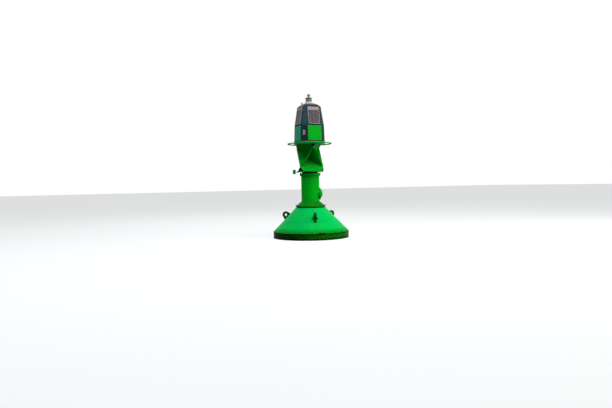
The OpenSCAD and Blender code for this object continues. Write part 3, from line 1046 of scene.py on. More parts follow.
class Shapes:
    """Geometry Nodes trees that make what repeats or follows a path or a surface."""

    SCATTER = {**values_for("Density", "Low", "High", "Small", "Large"), "Seed": Kind.COUNT}

    @staticmethod
    def _tree(name: str, inputs: Sockets) -> tuple[Group, Callable[[str], Socket]]:
        """Starts a Geometry Nodes tree, and returns it with what takes one of its inputs.

        Args:
            name: The tree's name.
            inputs: Its inputs other than the base and the material.

        Returns:
            The tree, and what takes one of its inputs.
        """
        sockets = {"Base": Kind.SHAPE, **inputs, "Material": Kind.MATERIAL}
        group = Group(name, "GeometryNodeTree", sockets, {"Shape": Kind.SHAPE})
        group.tree.is_modifier = True
        return group, group.take

    @staticmethod
    def _end(group: Group, shape: Socket) -> Group:
        """Ends a tree with Realize Instances and Set Material.

        Args:
            group: The tree.
            shape: Its result.

        Returns:
            The tree.
        """
        inputs = {0: group.put("GeometryNodeRealizeInstances", {0: shape})}
        inputs["Material"] = group.take("Material")
        group.give(shape=group.put("GeometryNodeSetMaterial", inputs))
        return group

    @staticmethod
    def _raised(group: Group, shape: Socket, height: object) -> Socket:
        """Lifts a shape by a height."""
        lift = group.put("ShaderNodeCombineXYZ", {"Z": height})
        return group.put("GeometryNodeTransform", {0: shape, "Translation": lift})

    @staticmethod
    def _joined(group: Group, *parts: Socket) -> Socket:
        """Joins shapes into one.

        Args:
            group: The tree.
            *parts: The shapes.

        Returns:
            The joined shape.
        """
        join = group.add("GeometryNodeJoinGeometry")
        for part in parts:
            group.tree.links.new(part, join.inputs[0])
        return join.outputs[0]

    @staticmethod
    def _spun(group: Group, aim: Socket, axis: Point, low: float, high: float) -> Socket:
        """Turns instances at random about an axis of their own.

        Args:
            group: The tree, with an input Seed.
            aim: The rotation that they start from.
            axis: The axis.
            low: The least turn.
            high: The largest turn.

        Returns:
            The rotation.
        """
        draw = {"Seed": group.take("Seed"), 2: low, 3: high}
        angle = group.add("FunctionNodeRandomValue", draw, data_type="FLOAT").outputs[1]
        about = group.put("FunctionNodeAxisAngleToRotation", {"Axis": axis, "Angle": angle})
        return group.put("FunctionNodeRotateRotation", {0: aim, 1: about}, rotation_space="LOCAL")

    @functools.cached_property
    def bead(self) -> Group:
        """A weld bead along edges, uneven as it was laid."""
        group, take = self._tree("weld_bead", values_for("Radius", "Step", "Uneven", "Seed"))
        path = group.put("GeometryNodeMeshToCurve", {0: take("Base")})
        steps = {"Curve": path, "Length": take("Step")}
        even = group.put("GeometryNodeResampleCurve", steps, mode="LENGTH")
        section = group.add("GeometryNodeCurvePrimitiveCircle", {"Resolution": 6, "Radius": take("Radius")})
        inputs = {"Curve": even, "Profile Curve": section.outputs[0], "Fill Caps": True}
        tube = group.put("GeometryNodeCurveToMesh", inputs)
        place = group.put("GeometryNodeInputPosition")
        pattern = {"Vector": place, "Scale": 70.0, "W": take("Seed")}
        ripple = group.add("ShaderNodeTexNoise", pattern, noise_dimensions="4D").outputs["Fac"]
        push = group.times(group.minus(ripple, 0.5), take("Uneven"))
        normal = {0: group.put("GeometryNodeInputNormal"), "Scale": push}
        offset = group.put("ShaderNodeVectorMath", normal, operation="SCALE")
        moved = group.add("GeometryNodeSetPosition", {"Geometry": tube, "Offset": offset})
        return self._end(group, moved.outputs[0])

    @functools.cached_property
    def fastener(self) -> Group:
        """Heads with washers at points, each pointing along the point's way."""
        sizes = values_for("Head radius", "Head height", "Washer radius", "Washer height")
        group, take = self._tree("fasteners", {"Sides": Kind.COUNT, **sizes, "Seed": Kind.COUNT})
        flat = take("Washer height")
        straight = group.times(take("Head height"), 0.78)
        disc = {"Vertices": 14, "Radius": take("Washer radius"), "Depth": flat}
        washer = group.put("GeometryNodeMeshCylinder", disc)
        prism = {"Vertices": take("Sides"), "Radius": take("Head radius"), "Depth": straight}
        body = group.put("GeometryNodeMeshCylinder", prism)
        cone = {
            "Vertices": take("Sides"),
            "Radius Bottom": take("Head radius"),
            "Radius Top": group.times(take("Head radius"), 0.78),
            "Depth": group.times(take("Head height"), 0.22),
        }
        crown = group.put("GeometryNodeMeshCone", cone)
        head = self._joined(
            group,
            self._raised(group, crown, group.plus(straight, flat)),
            self._raised(group, body, group.line(straight, 0.5, flat)),
            self._raised(group, washer, group.times(flat, 0.5)),
        )
        points = group.put("GeometryNodeMeshToPoints", {0: take("Base")})
        way = group.put("GeometryNodeInputNamedAttribute", {"Name": "way"}, data_type="FLOAT_VECTOR")
        aim = group.put("FunctionNodeAlignRotationToVector", {"Vector": way}, axis="Z")
        turned = self._spun(group, aim, (0.0, 0.0, 1.0), 0.0, math.tau)
        inputs = {"Points": points, "Instance": head, "Rotation": turned}
        return self._end(group, group.put("GeometryNodeInstanceOnPoints", inputs))

    def _scattered(self, group: Group, instance: Socket, align: str) -> Group:
        """Scatters an instance over a surface, thinning out between two heights, and ends the tree.

        Args:
            group: The tree, with the inputs of SCATTER.
            instance: What is scattered.
            align: The instance's axis that points along the surface's normal.

        Returns:
            The tree.
        """
        take = group.take
        place = group.put("GeometryNodeInputPosition")
        clump = group.add("ShaderNodeTexNoise", {"Vector": place, "Scale": 6.0, "Detail": 3.0})
        patchy = group.between(clump.outputs["Fac"], 0.42, 0.62)
        fade = group.between(group.axes(place)[2], take("High"), take("Low"))
        amount = group.times(group.times(patchy, fade), take("Density"))
        inputs = {0: take("Base"), "Density": amount, "Seed": take("Seed")}
        spots = group.add("GeometryNodeDistributePointsOnFaces", inputs, distribute_method="RANDOM")
        draw = {"Seed": take("Seed"), 2: take("Small"), 3: take("Large")}
        size = group.add("FunctionNodeRandomValue", draw, data_type="FLOAT").outputs[1]
        way = {"Vector": spots.outputs["Normal"]}
        aim = group.put("FunctionNodeAlignRotationToVector", way, axis=align)
        if align == "Y":
            turned = self._spun(group, aim, (0.0, 1.0, 0.0), -0.6, 0.6)
        else:
            turned = self._spun(group, aim, (0.0, 0.0, 1.0), 0.0, math.tau)
        inputs = {"Points": spots.outputs[0], "Instance": instance, "Rotation": turned, "Scale": size}
        return self._end(group, group.put("GeometryNodeInstanceOnPoints", inputs))

    @functools.cached_property
    def barnacle(self) -> Group:
        """Small craters of shell scattered over steel that stands in the water."""
        group, _ = self._tree("barnacles", self.SCATTER)
        rim, floor_r, floor_z = 0.45, 0.2, 0.35
        outer = {"Vertices": 7, "Radius Bottom": 1.0, "Radius Top": rim, "Depth": 0.7}
        wall = group.put("GeometryNodeMeshCone", outer, fill_type="NONE")
        inner = {"Vertices": 7, "Radius Bottom": floor_r, "Radius Top": rim, "Depth": 0.35}
        hollow = group.put("GeometryNodeMeshCone", inner, fill_type="NONE")
        inside = group.put("GeometryNodeFlipFaces", {0: self._raised(group, hollow, floor_z)})
        disc = {"Vertices": 7, "Radius": floor_r}
        floor = group.put("GeometryNodeMeshCircle", disc, fill_type="NGON")
        joined = self._joined(group, wall, inside, self._raised(group, floor, floor_z))
        shell = group.put("GeometryNodeMergeByDistance", {0: joined})
        return self._scattered(group, shell, "Z")

    @functools.cached_property
    def weed(self) -> Group:
        """Short blades of weed that hang down along a surface."""
        group, _ = self._tree("weed", self.SCATTER)
        cone = {"Vertices": 4, "Side Segments": 5, "Depth": 1.0, "Radius Bottom": 0.11, "Radius Top": 0.015}
        blade = group.put("GeometryNodeMeshCone", cone)
        x, y, z = group.axes(group.put("GeometryNodeInputPosition"))
        sway = group.times(group.math("SINE", group.times(z, 5.0)), 0.09)
        bent = {"X": group.plus(x, sway), "Y": group.line(y, 0.3, 0.03), "Z": group.times(z, -1.0)}
        place = group.put("ShaderNodeCombineXYZ", bent)
        shaped = group.put("GeometryNodeSetPosition", {0: blade, "Position": place})
        hanging = group.put("GeometryNodeFlipFaces", {0: shaped})
        return self._scattered(group, hanging, "Y")

    @functools.cached_property
    def tiles(self) -> Group:
        """Thin bars or tiles on a level grid of columns and rows."""
        counts = {"Columns": Kind.COUNT, "Rows": Kind.COUNT}
        group, take = self._tree("solar_grid", {**counts, **values_for("Across", "Up"), "Tile": Kind.VECTOR})
        sizes = {"Vertices X": take("Columns"), "Vertices Y": take("Rows")}
        sizes |= {"Size X": take("Across"), "Size Y": take("Up")}
        grid = group.put("GeometryNodeMeshGrid", sizes)
        points = group.put("GeometryNodeMeshToPoints", {0: grid})
        tile = group.put("GeometryNodeMeshCube", {"Size": take("Tile")})
        placed = group.add("GeometryNodeInstanceOnPoints", {"Points": points, "Instance": tile})
        return self._end(group, placed.outputs[0])

    @staticmethod
    def grow(
        name: str, base: Mesh, group: Group, material: Material, values: Inputs
    ) -> Mesh:
        """Runs a tree on a mesh and returns the result as a plain mesh.

        Args:
            name: The result's name.
            base: What the tree starts from.
            group: The tree.
            material: The result's material.
            values: What goes into the tree's other inputs, by name.

        Returns:
            The plain mesh.
        """
        carrier = add_object(name, base)
        modifier = carrier.modifiers.new("grow", "NODES")
        modifier.node_group = group.tree
        for label, value in {**values, "Material": material}.items():
            modifier[group.keys[label]] = value
        depsgraph = bpy.context.evaluated_depsgraph_get()
        mesh = bpy.data.meshes.new_from_object(carrier.evaluated_get(depsgraph), depsgraph=depsgraph)
        mesh.name = name
        mesh.materials.clear()
        mesh.materials.append(material)
        mesh.polygons.foreach_set("material_index", [0] * len(mesh.polygons))
        bpy.data.objects.remove(carrier)
        return mesh


@dataclass(frozen=True)
class Fastener:
    """Sizes of one kind of bolt, screw or rivet.

    Attributes:
        across: Width of the head.
        height: Height of the head.
        washer: Radius of the washer.
        washer_height: Height of the washer.
        sides: Number of the head's sides.
    """

    across: float
    height: float
    washer: float
    washer_height: float
    sides: int = 6

    @property
    def inputs(self) -> Inputs:
        """What goes into the fasteners' tree."""
        return {
            "Sides": self.sides,
            "Head radius": self.across / 2 / math.cos(math.pi / self.sides),
            "Head height": self.height,
            "Washer radius": self.washer,
            "Washer height": self.washer_height,
        }


FLANGE_BOLT = Fastener(across=0.024, height=0.013, washer=0.0155, washer_height=0.003)
HEAVY_NUT = Fastener(across=0.030, height=0.020, washer=0.0185, washer_height=0.003)
FOOT_NUT = Fastener(across=0.018, height=0.011, washer=0.0118, washer_height=0.0025)
HATCH_BOLT = Fastener(across=0.019, height=0.010, washer=0.0125, washer_height=0.0025)
PLATE_SCREW = Fastener(across=0.013, height=0.005, washer=0.009, washer_height=0.0012, sides=12)
RIVET = Fastener(across=0.010, height=0.003, washer=0.0062, washer_height=0.0006, sides=10)


@dataclass
class SubAssembly:
    """What every sub-assembly works with.

    Attributes:
        book: The finishes.
        shapes: The Geometry Nodes trees.
    """

    book: FinishBook
    shapes: Shapes

    def _grown(
        self,
        name: str,
        base: Mesh,
        group: Group,
        finish: Finish,
        slot: str,
        values: Inputs,
        angle: float,
    ) -> None:
        """Grows a piece from a mesh.

        Args:
            name: The piece's name.
            base: What it grows from.
            group: The tree that grows it.
            finish: The finish.
            slot: The record's material slot.
            values: What goes into the tree's inputs.
            angle: Angle past which its edges are sharp, in degrees, or 0 for flat faces.
        """
        mesh = self.shapes.grow(name, base, group, self.book.material(finish), values)
        if angle:
            smooth(mesh, angle)
        piece(name, mesh, slot)

    def beads(self, name: str, paths: Sequence[Path], radius: float, finish: Finish, slot: str) -> None:
        """Lays weld beads along paths as one piece."""
        values = {"Radius": radius, "Step": radius * 1.6, "Uneven": radius * 0.9, "Seed": float(len(name))}
        self._grown(name, paths_mesh(name, paths), self.shapes.bead, finish, slot, values, 60.0)

    def fasten(
        self, name: str, kind: Fastener, places: Places, finish: Finish, slot: str
    ) -> None:
        """Sets fasteners at places as one piece.

        Args:
            name: The piece's name.
            kind: The fasteners' sizes.
            places: Each one's foot and the way that it points.
            finish: The finish.
            slot: The record's material slot.
        """
        base = bpy.data.meshes.new(name)
        base.from_pydata([place for place, _ in places], [], [])
        ways = base.attributes.new("way", "FLOAT_VECTOR", "POINT")
        ways.data.foreach_set("vector", [value for _, way in places for value in way.normalized()])
        values = {**kind.inputs, "Seed": len(name)}
        self._grown(name, base, self.shapes.fastener, finish, slot, values, 28.0)

    def scatter(self, name: str, base: Mesh, group: Group, finish: Finish, spread: Scatter) -> None:
        """Grows weed or shells on a mesh as one piece of the wet belt."""
        angle = 50.0 if group is self.shapes.weed else 0.0
        self._grown(name, base, group, finish, "wet_belt", spread.inputs, angle)


@dataclass(frozen=True)
class Lamp:
    """A soft round lamp that points at the buoy's middle.

    Attributes:
        name: Its name.
        turn: Turn at which it hangs.
        height: Its height.
        away: Its distance from the axis.
        share: Share of the full level that it puts on a surface that faces it.
        tint: Its colour.
        size: Its width.
    """

    name: str
    turn: float
    height: float
    away: float
    share: float
    tint: Rgb
    size: float = 10.0


WHITE = (1.0, 1.0, 1.0)
LAMPS = (
    Lamp("key", turn=50.0, height=7.14, away=15.2, share=0.54, tint=(1.0, 0.98, 0.94)),
    Lamp("top", turn=10.0, height=16.1, away=8.0, share=0.60, tint=(1.0, 0.99, 0.97)),
    Lamp("fill", turn=-60.0, height=14.5, away=10.3, share=0.38, tint=(0.70, 0.92, 1.0)),
    Lamp("back", turn=170.0, height=13.5, away=11.3, share=0.20, tint=WHITE),
)


@dataclass
class Stage:
    """The camera, floor and light that show the buoy.

    Attributes:
        distance: How far the camera stands from the axis.
        turn: Turn at which it stands.
        eye: Its height over the water.
        pitch: How far it looks down, in degrees.
        pan: How far it looks to the left of the axis.
        roll: How far the buoy leans to the left in the picture.
        lens: Focal length in millimetres.
        sensor: Width of the picture behind the lens, in millimetres.
        clip_end: How far the camera sees.
        floor_half: Half the floor's width.
        floor_lit: Colour that the floor throws back onto the buoy.
        floor_seen: Colour of the floor where the camera sees it, under its glow.
        floor_glow: Strength of that glow.
        sky_tint: Colour of the light from the sky.
        sky_level: Strength of that light at the horizon and overhead.
        aim: Height at which the lamps point.
    """

    distance: float = 18.0
    turn: float = -25.0
    eye: float = 1.77
    pitch: float = 2.12
    pan: float = 0.49
    roll: float = 1.1
    lens: float = 31.8
    sensor: float = 36.0
    clip_end: float = 500.0
    floor_half: float = 150.0
    floor_lit: Rgb = (0.12, 0.12, 0.13)
    floor_seen: Rgb = (0.36, 0.36, 0.36)
    floor_glow: float = 0.68
    sky_tint: Rgb = (0.80, 0.92, 1.0)
    sky_level: tuple[float, float] = (0.30, 0.10)
    aim: float = 2.2

    def camera(self) -> None:
        """Sets the camera at the photograph's angle."""
        data = bpy.data.cameras.new("view")
        data.lens = self.lens
        data.sensor_width = self.sensor
        data.clip_end = self.clip_end
        thing = add_object("view", data)
        heading = Matrix.Rotation(math.radians(self.turn + self.pan), 4, "Z")
        tilt = Matrix.Rotation(math.radians(90 - self.pitch), 4, "X")
        lean = Matrix.Rotation(math.radians(-self.roll), 4, "Z")
        stand = Matrix.Translation(at_turn(self.turn, self.distance, self.eye))
        thing.matrix_world = stand @ heading @ tilt @ lean
        bpy.context.scene.camera = thing

    @staticmethod
    def _blank(owner: Material | bpy.types.World) -> tuple[Tree, Socket]:
        """Clears the tree of a material or a world.

        Args:
            owner: The material or the world.

        Returns:
            The tree, and 1 for what the camera sees, also in a mirror or through glass.
        """
        owner.use_nodes = True
        owner.node_tree.nodes.clear()
        tree = Tree(owner.node_tree)
        path = tree.add("ShaderNodeLightPath").outputs
        seen = tree.math("MAXIMUM", path["Is Camera Ray"], path["Is Glossy Ray"])
        return tree, tree.math("MAXIMUM", seen, path["Is Transmission Ray"])

    def floor(self) -> None:
        """Lays the pale floor at the waterline, which nothing below it can see."""
        half = self.floor_half
        mesh = bpy.data.meshes.new("floor")
        corners = [(-half, -half, 0), (half, -half, 0), (half, half, 0), (-half, half, 0)]
        mesh.from_pydata(corners, [], [(0, 1, 2, 3)])
        thing = add_object("floor", mesh)
        material = bpy.data.materials.new("floor")
        tree, seen = self._blank(material)
        pale = tree.mix(seen, self.floor_lit, self.floor_seen)
        lit = tree.put("ShaderNodeBsdfDiffuse", {"Color": pale})
        strength = tree.times(seen, self.floor_glow)
        glow = tree.put("ShaderNodeEmission", {"Color": WHITE, "Strength": strength})
        face = tree.put("ShaderNodeAddShader", {0: lit, 1: glow})
        under = tree.add("ShaderNodeNewGeometry").outputs["Backfacing"]
        clear = tree.put("ShaderNodeBsdfTransparent")
        both = tree.put("ShaderNodeMixShader", {0: under, 1: face, 2: clear})
        tree.add("ShaderNodeOutputMaterial", {"Surface": both})
        mesh.materials.append(material)

    def sky(self) -> None:
        """Lights all sides softly and shows a white background."""
        world = bpy.data.worlds.new("studio")
        tree, seen = self._blank(world)
        way = tree.add("ShaderNodeTexCoord").outputs["Generated"]
        level = tree.between(tree.axes(way)[2], 0.0, 1.0, *self.sky_level)
        colour = tree.mix(seen, self.sky_tint, WHITE)
        inputs = {"Color": colour, "Strength": tree.math("MAXIMUM", level, seen)}
        light = tree.put("ShaderNodeBackground", inputs)
        tree.add("ShaderNodeOutputWorld", {"Surface": light})
        bpy.context.scene.world = world

    def hang(self, lamp: Lamp) -> None:
        """Hangs a lamp and points it at the buoy's middle.

        Args:
            lamp: The lamp.
        """
        place = at_turn(lamp.turn, lamp.away, lamp.height)
        way = place - UP * self.aim
        data = bpy.data.lights.new(lamp.name, "AREA")
        data.shape = "DISK"
        data.size = lamp.size
        data.color = lamp.tint
        data.energy = lamp.share * math.pi**2 * way.length**2
        turned = way.to_track_quat("Z", "Y").to_matrix().to_4x4()
        add_object(lamp.name, data).matrix_world = Matrix.Translation(place) @ turned

    def build(self) -> None:
        """Sets the camera, the floor and the light."""
        self.camera()
        self.floor()
        self.sky()
        for lamp in LAMPS:
            self.hang(lamp)
        bpy.context.scene.view_settings.view_transform = "Standard"
        LOG.info("stage: camera, floor, sky and %d lamps", len(LAMPS))


KNEE = 3.695
MOUNTS = frame["record"]["mounts"]
EYE_HOLES = [mount["pos_m"] for mount in MOUNTS if mount["name"].startswith("lifting_eye")]
EYE_TURNS = [turn_of(hole) for hole in EYE_HOLES]
# The float's green goes darker towards the cone's foot over the slime.
FLOAT_GREEN = Paint(
    "float_green_paint", srgb(2, 197, 72), srgb(0, 182, 112), rough=0.36, sheen=0.10, patch_size=0.5,
    patch=0.5, streak=0.22, rust=0.02, slime_top=0.205, slime_ragged=0.22, film=srgb(0, 138, 8),
    runs=(Run(-15.0, 1.02, 0.66, 0.05, 0.5, srgb(48, 150, 14)),)
    + tuple(Run(turn, 0.86, 0.10, 0.045, 0.5, GRIME_RUN) for turn in EYE_TURNS)
    + tuple(Run(turn + off, 0.78, 0.45, 0.012, 0.75, RUST_RUN) for turn in EYE_TURNS for off in (-2.6, 2.1)),
)
MAST_GREEN = Paint("mast_green_paint", srgb(1, 181, 26), srgb(0, 166, 36), rough=0.4, patch=0.5, rust=0.05)
FOOT_GREEN = Paint(
    "foot_green_paint", srgb(8, 132, 20), srgb(0, 100, 20), patch=0.6, rust=0.16,
    runs=(
        Run(-16.0, 1.19, 1.02, 0.022, 0.9, srgb(70, 40, 14)),
        Run(-17.0, 1.10, 1.02, 0.018, 0.9, RUST_RUN),
        Run(4.0, 1.09, 1.02, 0.03, 0.8, RUST_RUN),
    ),
)
EYE_GREEN = Paint(
    "eye_green_paint", srgb(8, 96, 34), srgb(20, 66, 20), rough=0.5, patch=0.8, rust=0.3, wear=0.8
)
RING_GREEN = Paint("ring_green_paint", srgb(2, 166, 60), srgb(0, 150, 54), rough=0.45, patch=0.5, rust=0.08)
REFLECTOR_GREEN = Paint(
    "reflector_green_paint", srgb(2, 157, 28), srgb(0, 143, 38), rough=0.45, patch=0.5, rust=0.05
)
NUMBER_GREEN = Reflective("number_green_sheeting", srgb(3, 174, 28), srgb(3, 162, 38))
# Plates 3 and 4, on the back and the left, take a bluer green: painted shade of the faces turned away from the
# key lamp.
NUMBER_SHADED_TEAL = Reflective("number_faded_sheeting", srgb(34, 164, 120), srgb(20, 148, 100))
# Near-black green on the hull flange: a painted shadow in the recess under the mast's foot flange.
FLANGE_GAP_SHADOW = Paint("seam_dark_paint", srgb(4, 44, 10), srgb(16, 34, 12), rough=0.6, rust=0.25, wear=0.4)
# Dark steel: on the mast's spigot it is a painted shadow in the gap under the reflector's base; the roof eye
# takes it too.
DARK_STEEL = Paint("shadow_steel_paint", srgb(40, 52, 50), srgb(26, 34, 32), rough=0.5, rust=0.2)
CORNER_TEAL = Paint(
    "corner_teal_paint", srgb(36, 58, 57), srgb(28, 46, 46), rough=0.4, rust=0.03, streak=0.3,
    upper=srgb(52, 82, 92), upper_from=KNEE,
)
CABINET = Paint("cabinet_navy_paint", srgb(46, 52, 66), srgb(34, 38, 46), rough=0.45, rust=0.02)
# The roof is navy up to 4.372 m, standing for its rim in painted shade, and pale grey above as a painted sky
# reflection on its top.
ROOF_NAVY_PAINTED_SKY = Paint(
    "roof_navy_paint", srgb(44, 50, 64), srgb(32, 36, 46), rough=0.45, upper=srgb(124, 127, 138),
    upper_from=4.372,
)
PLINTH = Plain("plinth_grey", srgb(84, 92, 80), srgb(60, 64, 54), rough=0.6, rust=0.35)
PANEL_FRAME = Plain(
    "panel_frame_alloy", srgb(154, 144, 141), srgb(142, 133, 131), rough=0.55, metallic=0.1, ior=1.2,
    streak=0.35,
)
CELL = Plain(
    "solar_cell", srgb(72, 66, 72), srgb(60, 60, 70), rough=0.35, coat=0.05, patch=0.8, patch_size=0.07
)
BACKSHEET = Plain("solar_backsheet", srgb(24, 22, 26), srgb(18, 18, 22), rough=0.4, coat=0.05)
BUSBAR = Plain("solar_busbar", srgb(92, 88, 94), srgb(78, 76, 84), rough=0.35, metallic=0.2)
LAMP_CREAM = Plain("lantern_cream", srgb(214, 208, 200), srgb(186, 180, 166), rough=0.5, streak=0.5)
LAMP_CAP = Plain("lantern_cap_grey", srgb(58, 66, 78), srgb(44, 50, 58), rough=0.5)
LAMP_FINIAL = Plain("lantern_finial_grey", srgb(158, 166, 160), srgb(128, 134, 120), rough=0.55)
LABEL = Plain("label_cream", srgb(162, 134, 146), srgb(146, 118, 128), rough=0.5)
LAMP_CORE = Plain("lantern_core_olive", srgb(188, 184, 132), srgb(156, 152, 112), rough=0.4)
LENS = Clear("lantern_lens_clear", srgb(154, 153, 128))
# The belt's weed is painted brighter green on its lit side, a painted highlight, and near-black under the lip,
# a painted shadow.
WET_BELT = Overgrown(
    "wet_belt_growth", srgb(12, 70, 22), top=0.215, ragged=0.05, bright=0.95, green_from=0.055,
    green_to=0.184,
)
ANTIFOULING = Overgrown(
    "antifouling_growth", srgb(46, 62, 40), top=-0.4, ragged=1.6, bright=0.15, rough=0.62
)
CAST = CastIron("cast_iron_rust", srgb(74, 46, 28))
STEEL_BOLT = Plain(
    "bolt_zinc", srgb(92, 122, 84), srgb(100, 70, 44), rough=0.5, metallic=0.3, rust=0.45, edge=0.0008
)
GREEN_BOLT = Paint(
    "bolt_green_paint", srgb(2, 120, 22), srgb(0, 84, 16), rough=0.45, rust=0.35, wear=1.0, edge=0.001
)
SHELL = Plain("barnacle_shell", srgb(112, 112, 92), srgb(40, 60, 34), rough=0.8, patch=0.9, patch_size=0.05)
WEED = Plain("green_weed", srgb(10, 62, 6), srgb(3, 22, 3), rough=0.5, ior=1.08, patch=1.0, patch_size=0.06)
BELT_WEED = Scatter(density=900.0, low=0.02, high=0.17, small=0.025, large=0.07, seed=4)
BELT_SHELLS = Scatter(density=700.0, low=-0.15, high=0.06, small=0.003, large=0.008, seed=11)


@dataclass
class Float(SubAssembly):
    """The float: belt, cones, their welds and what grows at the water.

    Attributes:
        steps: Steps round the cone.
        rows: Steps up the cone and up the belt's wall.
        dent_depth: Depth of the deepest dents.
        seam_share: Place of the cone's level seam, as a share of its height.
        rim_edge: Width of the rounded edge at the cone's top.
        lip_h: Height of the belt's lip.
        lip_out: How far the lip stands out.
        lip_edge: Width of the rounded edge at the lip's top.
        plate_bead: Radius of the beads between the cone's plates.
        rim_bead: Radius of the beads at the lip and the top flange.
        cone_top_radius: Radius of the cone at its top.
        belt: The belt.
        cone: The upper cone.
        flange: The top flange.
    """

    steps: int = 180
    rows: tuple[int, int] = (22, 12)
    dent_depth: float = 0.0035
    seam_share: float = 0.46
    rim_edge: float = 0.0048
    lip_h: float = 0.024
    lip_out: float = 0.010
    lip_edge: tuple[float, float] = (0.006, 0.004)
    plate_bead: float = 0.0042
    rim_bead: float = 0.005
    cone_top_radius: float = 0.5
    belt: Solid = Solid("hull_belt")
    cone: Solid = Solid("hull_cone")
    flange: Solid = Solid("hull_flange")

    @property
    def cone_h(self) -> float:
        """Height of the upper cone."""
        return self.cone.high - self.cone.low

    def cone_radius(self, height: float) -> float:
        """Returns the cone's radius at a height."""
        share = (height - self.cone.low) / self.cone_h
        return self.cone.radius + (self.cone_top_radius - self.cone.radius) * share

    def _dent(self, place: Vector) -> float:
        """Returns how far the plating is pushed in at a place.

        Args:
            place: The place.

        Returns:
            The depth.
        """
        value = noise.noise(place * 1.7 + Vector((3.1, 0.0, 7.7)))
        deep = max(0.0, noise.noise(place * 3.4 + Vector((9.0, 2.0, 1.0))) - 0.25)
        return self.dent_depth * (0.5 + 0.5 * value + 1.6 * deep)

    def _cone(self) -> None:
        """Makes the upper cone with slight dents in its plating."""
        low, high, top = self.cone.low, self.cone.high, self.cone_top_radius
        heights = [low + self.cone_h * k / self.rows[0] for k in range(1, self.rows[0])]
        profile = [(0.0, low), (self.cone.radius, low), *((self.cone_radius(z), z) for z in heights)]
        profile += [(top + self.rim_edge, high - self.rim_edge), (top, high), (0.0, high)]

        def dent(place: Vector) -> float:
            """Keeps both rims where they are."""
            share = (place.z - low) / self.cone_h
            return self._dent(place) * min(1.0, share * 8, (1 - share) * 8)

        mesh = lathe("float_cone", profile, self.steps, dent)
        mesh.materials.append(self.book.material(FLOAT_GREEN))
        piece("float_cone", mesh, "float_green", "hull_cone")

    def _belt(self) -> Mesh:
        """Makes the belt with its lip and returns its mesh.

        Returns:
            The belt's mesh.
        """
        radius = self.belt.radius - self.lip_out
        low, top = self.belt.low, self.belt.high
        rows, wall_top = self.rows[1], top - self.lip_h - self.lip_out
        wall = [(radius, low + (wall_top - low) * k / rows) for k in range(rows + 1)]
        rim, (inset, drop) = self.belt.radius, self.lip_edge
        lip = [(rim, top - self.lip_h), (rim, top - drop), (rim - inset, top), (radius - 0.03, top)]
        profile = [(0.0, low), (radius - drop, low), *wall, *lip, (0.0, top)]

        def dent(place: Vector) -> float:
            """Dents the wall and lets the lip waver."""
            inner = place.z <= low or place.z >= top
            return 0.0 if inner and math.hypot(place.x, place.y) < radius - 0.02 else self._dent(place) * 1.4

        mesh = lathe("float_belt", profile, self.steps * 2, dent)
        mesh.materials.append(self.book.material(WET_BELT))
        piece("float_belt", mesh, "wet_belt", "hull_belt")
        return mesh

    def _plate_seams(self) -> list[Path]:
        """Returns the paths of the seams between the cone's plates.

        Returns:
            The paths.
        """
        sunk, margin, count = 0.002, 0.01, 12
        low, high = self.cone.low + margin, self.cone.high - margin
        seam = self.cone.low + self.cone_h * self.seam_share
        paths = [ring_path(self.cone_radius(seam) - sunk, seam)]
        for turn in EYE_TURNS:
            for start, foot, head in ((turn, seam, high), (turn + 60, low, seam)):
                heights = [foot + (head - foot) * k / count for k in range(count + 1)]
                paths.append([at_turn(start, self.cone_radius(z) - sunk, z) for z in heights])
        return paths

    def _welds(self) -> None:
        """Lays the beads between the cone's plates, at the lip and at the top flange."""
        self.beads("float_welds", self._plate_seams(), self.plate_bead, FLOAT_GREEN, "float_green")
        lip = [ring_path(self.cone.radius - 0.004, self.belt.high + 0.001, 220)]
        self.beads("lip_weld", lip, self.rim_bead, FLOAT_GREEN, "float_green")
        neck = [ring_path(self.flange.radius + 0.002, self.flange.low + 0.001)]
        self.beads("flange_weld", neck, self.rim_bead, FOOT_GREEN, "mast_green")

    def _wall_only(self, belt: Mesh) -> Mesh:
        """Returns a copy of the belt's upright wall.

        Args:
            belt: The belt's mesh.

        Returns:
            The wall's mesh.
        """
        shape = bmesh.new()
        shape.from_mesh(belt)
        reach = self.belt.radius - self.lip_out - 0.02
        loose = [f for f in shape.faces if abs(f.normal.z) > 0.3 or f.calc_center_median().xy.length < reach]
        bmesh.ops.delete(shape, geom=loose, context="FACES")
        return as_mesh(shape, "belt_wall")

    def build(self) -> None:
        """Builds and dresses the float."""
        self._cone()
        belt = self._belt()
        self._welds()
        self.scatter("belt_weed", self._wall_only(belt), self.shapes.weed, WEED, BELT_WEED)
        self.scatter("belt_shells", self._wall_only(belt), self.shapes.barnacle, SHELL, BELT_SHELLS)
        self.book.dress(ANTIFOULING, "hull_bottom")
        # The hull flange is painted near-black as the shadow in its recess.
        self.book.dress(FLANGE_GAP_SHADOW, "hull_flange")


